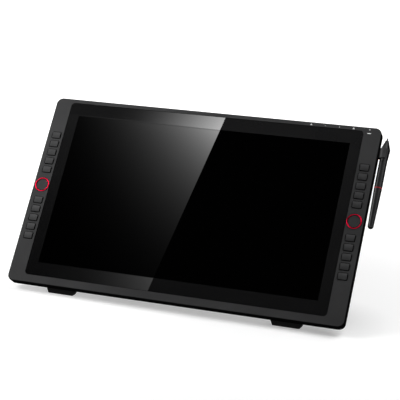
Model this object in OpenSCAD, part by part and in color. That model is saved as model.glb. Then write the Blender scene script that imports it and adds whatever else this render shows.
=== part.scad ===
// Graphics tablet with screen: a pen display on a folding stand, with shortcut keys, dials and a pen.
// The tablet is drawn lying flat, screen up, with the screen's centre at the origin, then tilted by seat().

/* [Screen] */
// Width of the lit screen area
screen_w = 476.1; // [400:0.1:520]
// Height of the lit screen area
screen_h = 267.8; // [230:0.1:300]
// Width of the black border left and right of the screen
border_side = 18.1; // [14:0.1:26]
// Height of the black border above and below the screen
border_ends = 22.9; // [18:0.1:30]
// Corner radius of the cover glass
glass_r = 6; // [3:0.5:12]
// Thickness of the cover glass
glass_t = 1.5; // [1:0.1:2.5]
// How far the glass lies below the frame's face
glass_recess = 0.3; // [0.1:0.1:0.6]
// Gap round the edge of the glass
glass_gap = 0.5; // [0.15:0.05:0.6]
// Thickness of the tape under the glass
tape_t = 0.2; // [0.1:0.1:0.5]

/* [Case] */
// Frame width left and right of the glass
margin_side = 29.35; // [28.6:0.05:40]
// Frame width above the glass
margin_top = 7.6; // [6.5:0.1:14]
// Frame width below the glass
margin_bottom = 14.4; // [8:0.1:24]
// Corner radius of the case
corner_r = 11; // [9:0.5:16]
// Rounding of the frame's front edge
edge_r = 2; // [1:0.1:3]
// Depth of the front frame's side wall
frame_d = 8; // [7.8:0.1:10]
// Thickness of the case walls
wall = 2; // [1.6:0.1:2.5]
// Depth of the straight rear rim on the left and right sides
rim_side = 6; // [0.4:0.1:7]
// Depth of the straight rear rim on the top and bottom edges
rim_ends = 6; // [1:0.1:7]
// Depth of the case from the frame's face to the flat of its back
case_d = 20; // [18.5:0.5:26]
// Width of the sloped part of the back at the left and right
slope_side = 25; // [20:1:28]
// Width of the sloped part of the back at the top and bottom
slope_ends = 20; // [16:1:24]
// Spacing of the four threaded mounting inserts, both ways
mount_pitch = 100; // [75:25:100]
// Radius of the mounting thread
mount_r = 2; // [1.5:0.25:2.5]

/* [Keys] */
// Width of a key cap
key_w = 14.9; // [12:0.1:15.4]
// Height of a key cap
key_h = 10.9; // [9:0.1:11.4]
// Spacing of the keys
key_pitch = 16; // [15.5:0.5:18]
// Distance from the dial's centre to the nearest key's centre
key_start = 28; // [27:0.5:32]
// Distance of the key column from the side of the case
key_inset = 15.9; // [14.8:0.1:16.2]
// Height of the key caps above the frame
key_rise = 1.5; // [0.8:0.1:1.6]
// Travel of a key
key_travel = 0.8; // [0.4:0.1:1]
// Rounding of a key cap's top edge
key_edge = 1; // [0.4:0.1:1.1]
// Gap round a key cap in its window
key_gap = 1; // [0.6:0.05:1.3]
// How far the keys lie inwards of the dials' centres
key_in = 0.8; // [0:0.1:1]
// How far the crown of a key cap drops to its upper and lower edge
key_crown = 0.6; // [0.2:0.05:0.8]
// Height of the key column's middle above the screen's centre
column_rise = 1.9; // [-10:0.1:10]

/* [Dials] */
// Outer diameter of a dial ring
dial_d = 24.6; // [22:0.1:24.8]
// Width of the dial ring's rounded rim
dial_rim = 1.5; // [1.4:0.1:3.2]
// Height of the dial ring above the frame
dial_rise = 1.2; // [1.2:0.1:3]
// Gap round a dial ring in its opening
dial_gap = 0.4; // [0.3:0.05:0.45]
// Radius of the fixed post that the dial turns on
dial_post_r = 4; // [3:0.1:5]

/* [Edge buttons] */
// Width of a button on the top edge
button_w = 12; // [8:0.5:15]
// Thickness of a button on the top edge
button_t = 2.6; // [2:0.1:2.8]
// Gap round a button in its slot
button_gap = 0.4; // [0.3:0.05:0.5]
// Spacing of the menu buttons
button_pitch = 23.5; // [18:0.1:26]
// Distance of the power button from the side of the case
power_inset = 20.1; // [18:0.1:24]
// Distance from the power button to the nearest menu button
power_step = 26.3; // [20:0.1:30]
// Height of a button above the top edge
button_rise = 0.7; // [0.6:0.1:1.2]
// Travel of a button
button_travel = 0.5; // [0.3:0.1:0.6]
// Width of the light bar
light_w = 6.4; // [4:0.1:8]
// Height of the light bar
light_h = 1; // [1:0.1:2]
// Distance of the light bar below the top edge
light_drop = 10.8; // [8:0.1:14]
// Distance of the nearer socket from the left side of the case
socket_inset = 110; // [60:1:180]
// Spacing of the two sockets
socket_pitch = 22; // [16:1:40]

/* [Pen] */
// Length of the barrel behind the grip
barrel_len = 119.4; // [100:0.1:140]
// Length of the flared grip
grip_len = 16.2; // [10:0.1:20]
// Length of the tip cone
cone_len = 15.8; // [12:0.1:20]
// Length of the nib outside the cone
nib_len = 4.8; // [2:0.1:6]
// Radius of the nib
nib_r = 1.1; // [0.7:0.1:1.2]
// Radius of the grip where it is widest
grip_r = 7.8; // [7:0.1:8.2]
// Radius of the barrel next to the grip
barrel_r = 6.4; // [5.6:0.1:6.8]
// Radius of the barrel at its end
tail_r = 4.7; // [4:0.1:5.5]
// Width of the red ring
ring_w = 1.2; // [1:0.1:4]
// Distance of the red ring from the grip
ring_at = 51.3; // [44:0.1:80]
// Distance of the pen's axis from the side of the case
pen_out = 9.7; // [9.4:0.1:12]
// Depth of the pen's axis behind the frame's face
pen_depth = 7; // [6:0.1:8]
// Distance from the top edge down to the widest part of the grip
pen_drop = 33.7; // [26:0.1:60]
// Length of the rocker button
rocker_len = 19; // [14:0.5:22]
// Width of the rocker button
rocker_w = 4.4; // [3.6:0.1:4.8]

/* [Feet] */
// Width of a desk foot
foot_w = 51; // [36:1:70]
// Distance of the feet from the middle
foot_x = 192; // [140:0.5:230]
// Depth of a foot's front face behind the frame's face
foot_front = 15.6; // [14:0.1:18]
// Depth of a foot's rear face behind the frame's face
foot_back = 21; // [20.5:0.5:34]
// How far a foot reaches below the bottom edge
foot_drop = 8.2; // [3:0.1:10]
// Sideways taper of a foot at each end
foot_taper = 5; // [1:0.1:6]

/* [Stand] */
// Tilt of the screen from the desk
tilt = 49.65; // [42:0.05:60]
// Height of the stand's hinge above the screen's centre
hinge_rise = 75; // [66:0.5:84]
// Distance of the hinge from the flat of the back
hinge_out = 13; // [12.5:0.1:16]
// Radius of the hinge pin
hinge_pin_r = 3; // [2:0.1:4]
// Radius of the leg's hub
hub_r = 8.5; // [7.5:0.1:9.2]
// Length of the leg's hub
hub_len = 139; // [120:1:160]
// Distance from the hinge to the middle of the leg's pad
leg_len = 206; // [198:0.5:215]
// Thickness of the leg
leg_t = 6; // [4:0.5:7]
// Width of the leg at its pad
leg_end_w = 196; // [160:1:240]
// Radius of the leg's rubber pad
pad_r = 7.5; // [6:0.1:8]
// Thickness of the hinge bracket's ears
ear_t = 10; // [6:0.5:14]
// Thickness of the bracket's base plate
bracket_t = 3; // [2:0.1:3.5]
// Length of the release lever's paddle
paddle_len = 26; // [18:0.5:30]
// Width of the release lever
lever_w = 60; // [40:1:80]

/* [Hidden] */
$fn = 48;
// Far enough past any face to cut through it
cut = 1;
// Running clearance of a shaft in its bore
run = 0.05;
// Clearance between a moving piece and a fixed one
free = 0.3;

// Outline of the glass and of the case
glass_w = screen_w + 2 * border_side;
glass_h = screen_h + 2 * border_ends;
body_w = glass_w + 2 * margin_side;
top_v = glass_h / 2 + margin_top;
bottom_v = -(glass_h / 2 + margin_bottom);
body_h = top_v - bottom_v;
mid_v = (top_v + bottom_v) / 2;

// Glass pocket, and the ledge below it that carries the tape
glass_back = glass_recess + glass_t;
skin = glass_back + tape_t;
ledge_t = 1.5;
ledge_w = 5;
ledge_out = 2.2;
ledge_back = skin + ledge_t;
window_w = glass_w - 2 * ledge_w;
window_h = glass_h - 2 * ledge_w;
window_r = 3;

// Layers behind the glass
panel_margin = 4;
panel_t = 1.4;
guide_t = 3;
tray_t = 0.8;
tray_wall = 1.2;
digitizer_margin = 6;
panel_w = screen_w + 2 * panel_margin;
panel_h = screen_h + 2 * panel_margin;
panel_back = glass_back + panel_t;
guide_back = panel_back + guide_t;
tray_back = guide_back + tray_t;
digitizer_t = 1;
digitizer_back = tray_back + digitizer_t;
chassis_t = 1.2;
chassis_back = digitizer_back + chassis_t;
chassis_more_w = 5;
chassis_more_h = 20;
chassis_w = glass_w + chassis_more_w;
chassis_h = screen_h + chassis_more_h;
chassis_r = 4;

// Rear cover
side_rim = frame_d + rim_side;
ends_rim = frame_d + rim_ends;
cover_in = 1.1 * wall;
cover_floor = case_d - cover_in;

// Screws through the rear cover into posts of the frame
screw_in = 1.55;
screw_row_in = 4;
screw_u = glass_w / 2 - screw_in;
screw_v = screen_h / 2 - screw_row_in;
screw_places = [for (side = [-1, 1], row = [-1, 0, 1]) [side * screw_u, mid_v + row * screw_v]];
screw_r = 1.25;
screw_head_r = 2.8;
screw_head_t = 1.6;
screw_cross = [2.6, 0.7, 1];
post_r = 3.2;
boss_r = 4;

// Mounting inserts
mount_places = [for (x = [-1, 1], y = [-1, 1]) [x * mount_pitch / 2, mid_v + y * mount_pitch / 2]];
insert_r = mount_r + 2;
insert_len = 8;

// Main board on stand-offs of the chassis plate
board_t = 1.6;
main_w = 100;
main_h = 110;
main_gap = 8;
main_u = -mount_pitch / 2 - insert_r - main_gap - main_w / 2;
standoff_t = 2;
standoff_r = 2.5;
standoff_in = 5;
main_back = chassis_back + standoff_t + board_t;
chip_t = 2.4;
// Each chip: place across and up the board, width, height
chips = [[0, 18, 24, 24], [-26, -22, 16, 12], [22, -26, 14, 20]];

// Key columns
column_u = body_w / 2 - key_inset;
key_u = column_u - key_in;
key_steps = [for (i = [4:-1:0]) key_start + i * key_pitch];
key_places = concat([for (s = key_steps) column_rise + s], [for (i = [4:-1:0]) column_rise - key_steps[i]]);
key_r = 1.4;
key_crown_r = (key_h * key_h / 4 + key_crown * key_crown) / (2 * key_crown);
flange_lip = 1.8;
flange_t = 0.8;
flange_front = skin + free;
flange_back = flange_front + flange_t;
switch_front = flange_back + key_travel + free;
switch_t = 2.3;
switch_w = 6;
stem_r = 1.5;
stem_len = 1.9;
key_board_front = switch_front + switch_t;
key_board_t = 1;
key_board_w = 13;
key_post_r = 2;
key_post_gap = (dial_d / 2 + dial_gap + key_start - key_h / 2 - flange_lip) / 2;
key_post_end = key_start + 4 * key_pitch + key_h / 2 + flange_lip + free + key_post_r;
key_posts = [-key_post_end, -key_post_gap, key_post_gap, key_post_end];
dot_r = 0.5;
dot_rise = 0.25;

// Dials
dial_r = dial_d / 2;
dial_in = dial_r - dial_rim;
hub_gap = 0.8;
hub_front = 0.1;
web_t = 1.5;
web_drop = 0.9;
web_front = flange_front + web_drop;
web_back = web_front + web_t;
encoder_in = dial_post_r + 1;
encoder_out = dial_in;

// Buttons, light and sockets along the top edge
button_depth = 5.4;
button_r = button_t / 2 - 0.05;
button_flange = 1.2;
button_flange_t = 0.9;
button_flange_v = top_v - wall - free;
button_switch_h = 2.6;
button_switch_v = button_flange_v - button_flange_t - button_travel - 2 * free;
edge_board_front = 7.6;
edge_board_t = 1;
edge_board_h = 10;
edge_board_drop = 2.2;
edge_board_v = top_v - wall - edge_board_drop - edge_board_h / 2;
edge_post_drop = 2.5;
edge_post_v = glass_h / 2 - edge_post_drop;
edge_post_in = 4;
edge_post_r = 1.6;
power_u = body_w / 2 - power_inset;
menu_places = [for (i = [3:-1:0]) power_u - power_step - i * button_pitch];
button_places = concat(menu_places, [power_u]);
light_v = top_v - light_drop;
light_gap = 0.1;
button_board_from = menu_places[0] - button_w;
button_board_past = 6;
button_board_to = power_u + button_board_past;
socket_places = [-body_w / 2 + socket_inset, -body_w / 2 + socket_inset + socket_pitch];
socket_w = 8.94;
socket_t = 3.26;
socket_wall = 0.3;
socket_len = 7.35;
socket_r = 1.55;
socket_gap = 0.2;
socket_depth = edge_board_front - socket_t / 2;
socket_mouth = 0.15;
tongue_w = 6.7;
tongue_t = 0.7;
tongue_len = 5.5;
socket_back_t = 1;
socket_post_side = 9;
socket_board_side = 12;

// Pen
pen_u = body_w / 2 + pen_out;
pen_v = top_v - pen_drop;
grip_end_r = barrel_r + 0.35;
cone_tip_r = nib_r + 1.4;
nib_in = 10;
spigot_r = 4.5;
spigot_len = grip_len - 2;
ring_deep = 0.8;
pen_seat_gap = free;
rocker_step = 14;
rocker_at = grip_len + rocker_step;
rocker_pivot_r = 0.8;
rocker_pivot = 4.9;
rocker_floor = 3.3;
rocker_under = 4.2;
rocker_top = barrel_r + 0.7;
rocker_swing = 3;
rocker_stub = 0.9;
rocker_turn = 20;

// Pen holder: a ring round the left and front of the grip, bridged to a plate clipped to the side of the case.
// It stops short of the middle behind the pen, where the rocker passes.
holder_plate_t = 1;
holder_from = 0.3;
holder_to = grip_len + 0.2;
holder_wall = 1.3;
holder_open = 3.9;
holder_shy = 0.8;
holder_bridge = 5;
peg_r = 1.4;
peg_gap = 0.1;
peg_drops = [3.5, 14];
peg_places = [for (drop = peg_drops) pen_v - drop];
peg_depth = 5.2;
holder_plate_low = 17;
holder_plate_high = 0.7;
holder_plate_from = pen_v - holder_plate_low;
holder_plate_to = pen_v - holder_plate_high;

// Feet: their faces lie on the desk at the stated tilt
foot_v = bottom_v - foot_drop;
foot_rise = (foot_back - foot_front) * cos(tilt) / sin(tilt);
foot_bevel = 1.6;
foot_top = 14;
foot_flat = 8;

// Desk height and the middle of the feet, seen from the screen's centre
desk_z = foot_v * sin(tilt) - foot_front * cos(tilt);
feet_y = (foot_v + foot_rise / 2) * cos(tilt) + (foot_front + foot_back) / 2 * sin(tilt);

// Stand: the leg leans so that its pad stands on the desk
hinge_n = -(case_d + hinge_out);
pad_flat = 0.8;
hinge_up = hinge_rise * sin(tilt) + hinge_n * cos(tilt) - desk_z;
leg_lean = acos((hinge_up - pad_r + pad_flat) / leg_len);
leg_open = 90 + leg_lean - tilt;
leg_in_pad = 1.5;
leg_panel = 1.2;
leg_panel_rim = 12;
pad_len = leg_end_w - 6;
ear_r = hub_r + 0.9;
bracket_down = 24;
bracket_up = 44;
bracket_w = hub_len + 2 * free + 2 * ear_t;
stand_screw_r = 2;
stand_screw_head_r = 3.6;
stand_screw_head_t = 2;
stand_screw_len = 9;
stand_screw_cross = [4, 0.9, 1.2];
stand_screw_in = 9;
stand_screw_down = 14;
stand_screw_up = 35;
stand_screw_u = hub_len / 2 - stand_screw_in;
stand_screw_rows = [hinge_rise - stand_screw_down, hinge_rise + stand_screw_up];
stand_screw_places = [for (x = [-1, 1], v = stand_screw_rows) [x * stand_screw_u, v]];
stand_boss_r = 5;

// Release lever above the hub
lever_pin_r = 1.5;
lever_r = 3.6;
lever_up = 17;
lever_in = 1.5;
lever_n = -(case_d + hinge_out - lever_in);
lever_v = hinge_rise + lever_up;
lug_t = 5;
paddle_t = 3;
shoe_t = 4;
shoe_gap = 0.5;

// Vent slots above the bracket
vent_count = 18;
vent_pitch = 10;
vent_w = 3;
vent_len = 12;
vent_drop = 14;
vent_v = top_v - slope_ends - vent_drop;

big = 4 * body_w;

side_names = ["left", "right"];
key_names = [for (side = side_names, i = [1:10]) str(side, "_key_", i)];
button_names = ["menu_button_1", "menu_button_2", "menu_button_3", "menu_button_4", "power_button"];

// Stands the flat-drawn tablet on the desk
module seat() {
    translate([0, -feet_y, -desk_z]) rotate([tilt, 0, 0]) children();
}

// Rectangle with round corners, centred
module rounded(w, h, r) {
    square([w - 2 * r, h], center = true);
    square([w, h - 2 * r], center = true);
    for (x = [-1, 1], y = [-1, 1]) translate([x * (w / 2 - r), y * (h / 2 - r)]) circle(r);
}

// Flat plate between two depths behind the frame's face
module plate(w, h, r, front, back) {
    translate([0, 0, -back]) linear_extrude(back - front) rounded(w, h, r);
}

// Section across a slab whose two front corners are round
module edge_section(w, e, d) {
    translate([-w / 2, -d]) square([w, d - e]);
    translate([-w / 2 + e, -d]) square([w - 2 * e, d]);
    for (x = [-1, 1]) translate([x * (w / 2 - e), -e]) circle(e);
}

// Slab with round corners and a round front edge, its front at height 0
module soft_slab(w, h, r, e, d) {
    rotate([90, 0, 90]) linear_extrude(w - 2 * r, center = true) edge_section(h, e, d);
    rotate([90, 0, 0]) linear_extrude(h - 2 * r, center = true) edge_section(w, e, d);
    for (x = [-1, 1], y = [-1, 1]) {
        translate([x * (w / 2 - r), y * (h / 2 - r), 0]) rotate_extrude() intersection() {
            edge_section(2 * r, e, d);
            translate([0, -d]) square([r, d]);
        }
    }
}

// Round bar between two depths behind the frame's face
module post(place, r, front, back) {
    translate([place[0], place[1], -back]) cylinder(r = r, h = back - front);
}

// Extrudes a section drawn in height and depth (v, n) along the width, centred
module across(len) {
    rotate([90, 0, 90]) linear_extrude(len, center = true) children();
}

// Extrudes a section drawn in width and depth (u, n) along the height, upwards from a given height
module upwards(v, len) {
    translate([0, v + len, 0]) rotate([90, 0, 0]) linear_extrude(len) children();
}

// Moves to the pen: +Z runs down the pen from the widest part of the grip, +Y faces the viewer
module at_pen(along = 0) {
    translate([pen_u, pen_v, -pen_depth]) rotate([90, 0, 0]) translate([0, 0, along]) children();
}

// Moves to the upper end of the pen's rocker, with -Y out of the barrel where the holder is open
module at_rocker(along = 0) {
    at_pen(rocker_at + along) rotate([0, 0, rocker_turn]) children();
}

// Front frame with its windows, walls and posts
module front_frame() {
    color("#3b3b3d") seat() difference() {
        union() {
            difference() {
                translate([0, mid_v, 0]) soft_slab(body_w, body_h, corner_r, edge_r, frame_d);
                translate([0, mid_v, 0])
                    plate(body_w - 2 * wall, body_h - 2 * wall, corner_r - wall, skin, frame_d + cut);
            }
            plate(glass_w + 2 * ledge_out, glass_h + 2 * ledge_out, glass_r, skin / 2, ledge_back);
            for (p = screw_places) post(p, post_r, skin, digitizer_back);
            for (x = [-1, 1], y = key_posts)
                post([x * column_u, column_rise + y], key_post_r, skin / 2, key_board_front);
            for (p = edge_posts()) post(p, edge_post_r, skin, edge_board_front);
        }
        plate(glass_w + 2 * glass_gap, glass_h + 2 * glass_gap, glass_r + glass_gap, -cut, skin);
        plate(window_w, window_h, window_r, -cut, frame_d + cut);
        for (x = [-1, 1], y = key_places) {
            translate([x * key_u, y, 0])
                plate(key_w + 2 * key_gap, key_h + 2 * key_gap, key_r + key_gap, -cut, skin + cut);
        }
        for (x = [-1, 1]) post([x * column_u, column_rise], dial_r + dial_gap, -cut, ledge_back + cut);
        for (p = screw_places) post(p, screw_r + run, skin + ledge_t, digitizer_back + cut);
        for (x = button_places) edge_slot(x, button_w, button_t, button_r, button_gap, button_depth);
        for (x = socket_places) edge_slot(x, socket_w, socket_t, socket_r, socket_gap, socket_depth);
        translate([power_u, light_v, 0])
            plate(light_w + 2 * light_gap, light_h + 2 * light_gap, light_h / 2, -cut, skin + cut);
        for (v = peg_places) {
            translate([body_w / 2 - wall - cut, v, -peg_depth])
                rotate([0, 90, 0]) cylinder(r = peg_r + peg_gap, h = wall + 2 * cut);
        }
    }
}

// Posts that carry the boards along the top edge
function edge_posts() = [for (x = edge_post_us()) [x, edge_post_v]];
function edge_post_us() = [
    button_board_from + edge_post_in, menu_places[3] + button_pitch / 2,
    socket_places[0] - socket_post_side, socket_places[1] + socket_post_side
];

// Round-ended slot through the top wall
module edge_slot(u, w, t, r, gap, depth) {
    translate([u, 0, -depth]) upwards(top_v - wall - cut, wall + 2 * cut)
        rounded(w + 2 * gap, t + 2 * gap, r + gap);
}

// Cover glass
module cover_glass() {
    color("#101012") seat() plate(glass_w, glass_h, glass_r, glass_recess, glass_back);
}

// Tape between the glass and the frame's ledge
module glass_tape() {
    color("#202020") seat() difference() {
        plate(glass_w, glass_h, glass_r, glass_back, skin);
        plate(window_w, window_h, window_r, glass_back - cut, skin + cut);
    }
}

// LCD panel bonded to the back of the glass
module lcd_panel() {
    color("#1b2028") seat() plate(panel_w, panel_h, 1, glass_back, panel_back);
}

// Light guide with its films
module light_guide() {
    color("#e8ecef") seat() plate(panel_w, panel_h, 1, panel_back, guide_back);
}

// Steel tray round the light guide
module backlight_tray() {
    lip = 2 * (free + tray_wall);
    color("#a8abad") seat() difference() {
        plate(panel_w + lip, panel_h + lip, 2, panel_back - panel_t / 2, tray_back);
        plate(panel_w + 2 * free, panel_h + 2 * free, 1, 0, guide_back);
    }
}

// Pen digitizer board behind the tray
module digitizer_board() {
    color("#1f5a3a") seat()
        plate(screen_w + 2 * digitizer_margin, screen_h + 2 * digitizer_margin, 3, tray_back, digitizer_back);
}

// Chassis plate with the main board's stand-offs
module chassis_plate() {
    color("#9a9da0") seat() difference() {
        union() {
            plate(chassis_w, chassis_h, chassis_r, digitizer_back, chassis_back);
            for (p = main_corners())
                post(p, standoff_r, chassis_back - chassis_t / 2, chassis_back + standoff_t);
        }
        for (p = screw_places) post(p, screw_r + 2 * run, digitizer_back - cut, chassis_back + cut);
    }
}

// Main board's fixing places
function main_corners() = [
    for (x = [-1, 1], y = [-1, 1])
        [main_u + x * (main_w / 2 - standoff_in), mid_v + y * (main_h / 2 - standoff_in)]
];

// Main board with its larger chips
module main_board() {
    front = chassis_back + standoff_t;
    color("#1d4d2b") seat() union() {
        translate([main_u, mid_v, 0]) plate(main_w, main_h, 2, front, main_back);
        for (chip = chips) {
            translate([main_u + chip[0], mid_v + chip[1], 0])
                plate(chip[2], chip[3], 0.6, main_back - board_t / 2, main_back + chip_t);
        }
    }
}

// Outside of the back: straight rims, sloped sides and a flat middle, moved in and out by an inset
module back_form(rise, inset) {
    half = body_w / 2;
    intersection() {
        translate([0, mid_v, 0]) plate(body_w - 2 * inset, body_h - 2 * inset, corner_r - inset, 0, case_d);
        rotate([90, 0, 0]) linear_extrude(big, center = true) polygon([
            [-half, 0], [-half, rise - side_rim], [-half + slope_side, rise - case_d],
            [half - slope_side, rise - case_d], [half, rise - side_rim], [half, 0]
        ]);
        across(big) polygon([
            [bottom_v, 0], [bottom_v, rise - ends_rim], [bottom_v + slope_ends, rise - case_d],
            [top_v - slope_ends, rise - case_d], [top_v, rise - ends_rim], [top_v, 0]
        ]);
    }
}

// Rear cover with its bosses and vents
module rear_cover() {
    color("#1c1c1e") seat() difference() {
        union() {
            difference() {
                back_form(0, 0);
                back_form(cover_in, wall);
                translate([0, 0, -frame_d]) linear_extrude(2 * frame_d) square(2 * body_w, center = true);
            }
            for (p = screw_places) post(p, boss_r, chassis_back, case_d - wall / 2);
            for (p = mount_places) post(p, insert_r + wall, case_d - insert_len, case_d - wall / 2);
            for (p = stand_screw_places) post(p, stand_boss_r, case_d - stand_screw_len, case_d - wall / 2);
        }
        for (p = screw_places) {
            post(p, screw_r + 2 * run, chassis_back - cut, case_d + cut);
            post(p, screw_head_r + 2 * run, case_d - screw_head_t, case_d + cut);
        }
        for (p = mount_places) post(p, insert_r + run, case_d - insert_len - cut, case_d + cut);
        for (p = stand_screw_places)
            post(p, stand_screw_r + run, case_d - stand_screw_len - cut, case_d + cut);
        for (i = [0:vent_count - 1]) {
            translate([(i - (vent_count - 1) / 2) * vent_pitch, vent_v, 0])
                plate(vent_w, vent_len, vent_w / 2 - 0.1, case_d - 2 * wall, case_d + cut);
        }
    }
}

// Threaded inserts of the arm or wall mount
module mount_inserts() {
    color("#c9b37a") seat() for (p = mount_places) difference() {
        post(p, insert_r, case_d - insert_len, case_d);
        post(p, mount_r, case_d - insert_len - cut, case_d + cut);
    }
}

// Screws that hold the rear cover and the chassis plate to the frame
module case_screws() {
    color("#4a4a4c") seat() for (p = screw_places) difference() {
        union() {
            post(p, screw_head_r, case_d - screw_head_t, case_d);
            post(p, screw_r, ledge_back + 2 * free, case_d);
        }
        cross(p, screw_cross, case_d);
    }
}

// Cross recess of a given length, width and depth in a screw head whose face lies at the given depth
module cross(place, size, face) {
    for (a = [0, 90]) translate([place[0], place[1], -face]) rotate([0, 0, a]) {
        translate([-size[0] / 2, -size[1] / 2, -cut]) cube([size[0], size[1], size[2] + cut]);
    }
}

// Boards under the keys and dials
module key_boards() {
    len = 2 * key_post_end + 2 * key_post_r + 2;
    color("#1f5a3a") seat() for (x = [-1, 1]) translate([x * column_u, column_rise, 0])
        plate(key_board_w, len, 1.5, key_board_front, key_board_front + key_board_t);
}

// Switches under the keys and behind the edge buttons
module tact_switches() {
    color("#2a2a2c") seat() {
        for (x = [-1, 1], y = key_places) difference() {
            translate([x * key_u, y, 0]) plate(switch_w, switch_w, 0.5, switch_front, key_board_front);
            post([x * key_u, y], stem_r + free, switch_front - cut, key_board_front - free);
        }
        for (x = button_places) {
            translate([x, button_switch_v - button_switch_h / 2, 0])
                plate(switch_w, button_switch_h, 0.4, button_depth - button_t / 2 + free, edge_board_front);
        }
    }
}

// One key: crowned cap, hidden flange and stem; marked keys have a small dot
module key(side, v, dotted) {
    color("#3f3f41") seat() translate([side * key_u, v, 0]) {
        translate([0, 0, key_rise]) intersection() {
            soft_slab(key_w, key_h, key_r, key_edge, key_rise + flange_front + flange_t / 2);
            translate([0, 0, -key_crown_r])
                rotate([0, 90, 0]) cylinder(r = key_crown_r, h = 2 * key_w, center = true);
        }
        plate(key_w + 2 * flange_lip, key_h + 2 * flange_lip, key_r, flange_front, flange_back);
        post([0, 0], stem_r, flange_back - flange_t / 2, flange_back + stem_len);
        if (dotted) post([0, 0], dot_r, -key_rise - dot_rise, -key_rise + dot_rise);
    }
}

// Fixed hub in the middle of each dial, on its post
module dial_hubs() {
    color("#3b3b3d") seat() for (x = [-1, 1]) {
        post([x * column_u, column_rise], dial_in - hub_gap, hub_front, web_front - free);
        post([x * column_u, column_rise], dial_post_r, hub_front + 1, key_board_front);
    }
}

// Encoder rings under the dials
module dial_encoders() {
    color("#2a2a2c") seat() for (x = [-1, 1]) difference() {
        post([x * column_u, column_rise], encoder_out, web_back + free, key_board_front);
        post([x * column_u, column_rise], encoder_in, web_back - cut, key_board_front + cut);
    }
}

// Dial ring with a rounded rim and the web that turns on the post
module dial(side) {
    rim_r = dial_rim / 2;
    color("#c40a2e") seat() translate([side * column_u, column_rise, 0]) rotate_extrude() {
        translate([dial_in, -web_back]) square([dial_rim, web_back + dial_rise - rim_r]);
        translate([dial_in + rim_r, dial_rise - rim_r]) circle(rim_r);
        translate([dial_post_r + run, -web_back]) square([dial_r - dial_post_r - run, web_t]);
    }
}

// Boards behind the buttons and sockets of the top edge
module edge_boards() {
    color("#1f5a3a") seat() {
        edge_board(button_board_from, button_board_to);
        edge_board(socket_places[0] - socket_board_side, socket_places[1] + socket_board_side);
    }
}

module edge_board(from, to) {
    translate([(from + to) / 2, edge_board_v, 0])
        plate(to - from, edge_board_h, 1, edge_board_front, edge_board_front + edge_board_t);
}

// Light bar below the power button
module power_light() {
    color("#f2f4f6") seat() translate([power_u, light_v, 0])
        plate(light_w, light_h, light_h / 2 - 0.1, 0, edge_board_front);
}

// Button on the top edge, with a hidden flange
module edge_button(u) {
    color("#3f3f41") seat() translate([u, 0, -button_depth]) {
        upwards(button_flange_v - button_flange_t / 2, button_rise + wall + free + button_flange_t / 2)
            rounded(button_w, button_t, button_r);
        upwards(button_flange_v - button_flange_t, button_flange_t)
            rounded(button_w + 2 * button_flange, button_t + button_flange, 0.8);
    }
}

// USB-C sockets on the top edge
module usb_sockets() {
    mouth = top_v - socket_mouth;
    floor_v = mouth - socket_len;
    color("#b9bcc0") seat() for (x = socket_places) translate([x, 0, -socket_depth]) {
        difference() {
            upwards(floor_v, socket_len) rounded(socket_w, socket_t, socket_r);
            upwards(floor_v + socket_back_t, socket_len)
                rounded(socket_w - 2 * socket_wall, socket_t - 2 * socket_wall, socket_r - socket_wall);
        }
        upwards(floor_v + socket_back_t / 2, tongue_len) square([tongue_w, tongue_t], center = true);
    }
}

// Desk feet under the bottom edge, flat where they meet the desk
module desk_feet() {
    slope = (case_d - ends_rim) / slope_ends;
    slope_v = bottom_v + (foot_front - ends_rim) / slope;
    flat_v = bottom_v + slope_ends;
    color("#141414") seat() for (x = [-1, 1]) translate([x * foot_x, 0, 0]) intersection() {
        across(foot_w) polygon([
            [slope_v, -foot_front],
            [foot_v + foot_bevel, -foot_front],
            [foot_v + foot_bevel * cos(tilt), -foot_front - foot_bevel * sin(tilt)],
            [foot_v + foot_rise - foot_bevel * cos(tilt), -foot_back + foot_bevel * sin(tilt)],
            [foot_v + foot_rise + foot_bevel, -foot_back],
            [flat_v - foot_flat / 2, -foot_back],
            [flat_v + foot_flat, -case_d],
            [flat_v, -case_d]
        ]);
        translate([0, 0, -2 * foot_back]) linear_extrude(2 * foot_back) polygon([
            [-foot_w / 2, flat_v + foot_top], [-foot_w / 2, bottom_v],
            [-foot_w / 2 + foot_taper, foot_v - cut / 2], [foot_w / 2 - foot_taper, foot_v - cut / 2],
            [foot_w / 2, bottom_v], [foot_w / 2, flat_v + foot_top]
        ]);
    }
}

// Space round the flared grip, widened by a gap
module grip_space(gap) {
    at_pen(-cut) {
        widen = (grip_r - grip_end_r) / grip_len;
        cylinder(r1 = grip_r + gap + widen * cut, r2 = grip_end_r + gap, h = grip_len + cut);
        cylinder(r = barrel_r + gap, h = 3 * grip_len);
    }
}

// Pen holder clipped to the right side of the case
module pen_holder() {
    side = body_w / 2;
    color("#161618") seat() difference() {
        union() {
            translate([side, holder_plate_from, -frame_d])
                cube([holder_plate_t, holder_plate_to - holder_plate_from, frame_d - edge_r - free]);
            intersection() {
                at_pen(holder_from) cylinder(
                    r1 = grip_r + pen_seat_gap + holder_wall,
                    r2 = grip_end_r + pen_seat_gap + holder_wall,
                    h = holder_to - holder_from
                );
                translate([side, pen_v - 2 * grip_len, -pen_depth]) {
                    cube([pen_out + holder_open, 3 * grip_len, 2 * grip_r]);
                    translate([0, 0, -2 * grip_r])
                        cube([pen_out - holder_shy, 3 * grip_len, 2 * grip_r + cut]);
                }
            }
            translate([side, pen_v - holder_to, -frame_d])
                cube([pen_out, holder_to - holder_from, holder_bridge]);
            for (v = peg_places) translate([side - wall, v, -peg_depth])
                rotate([0, 90, 0]) cylinder(r = peg_r, h = wall + holder_plate_t / 2);
        }
        grip_space(pen_seat_gap);
    }
}

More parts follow.
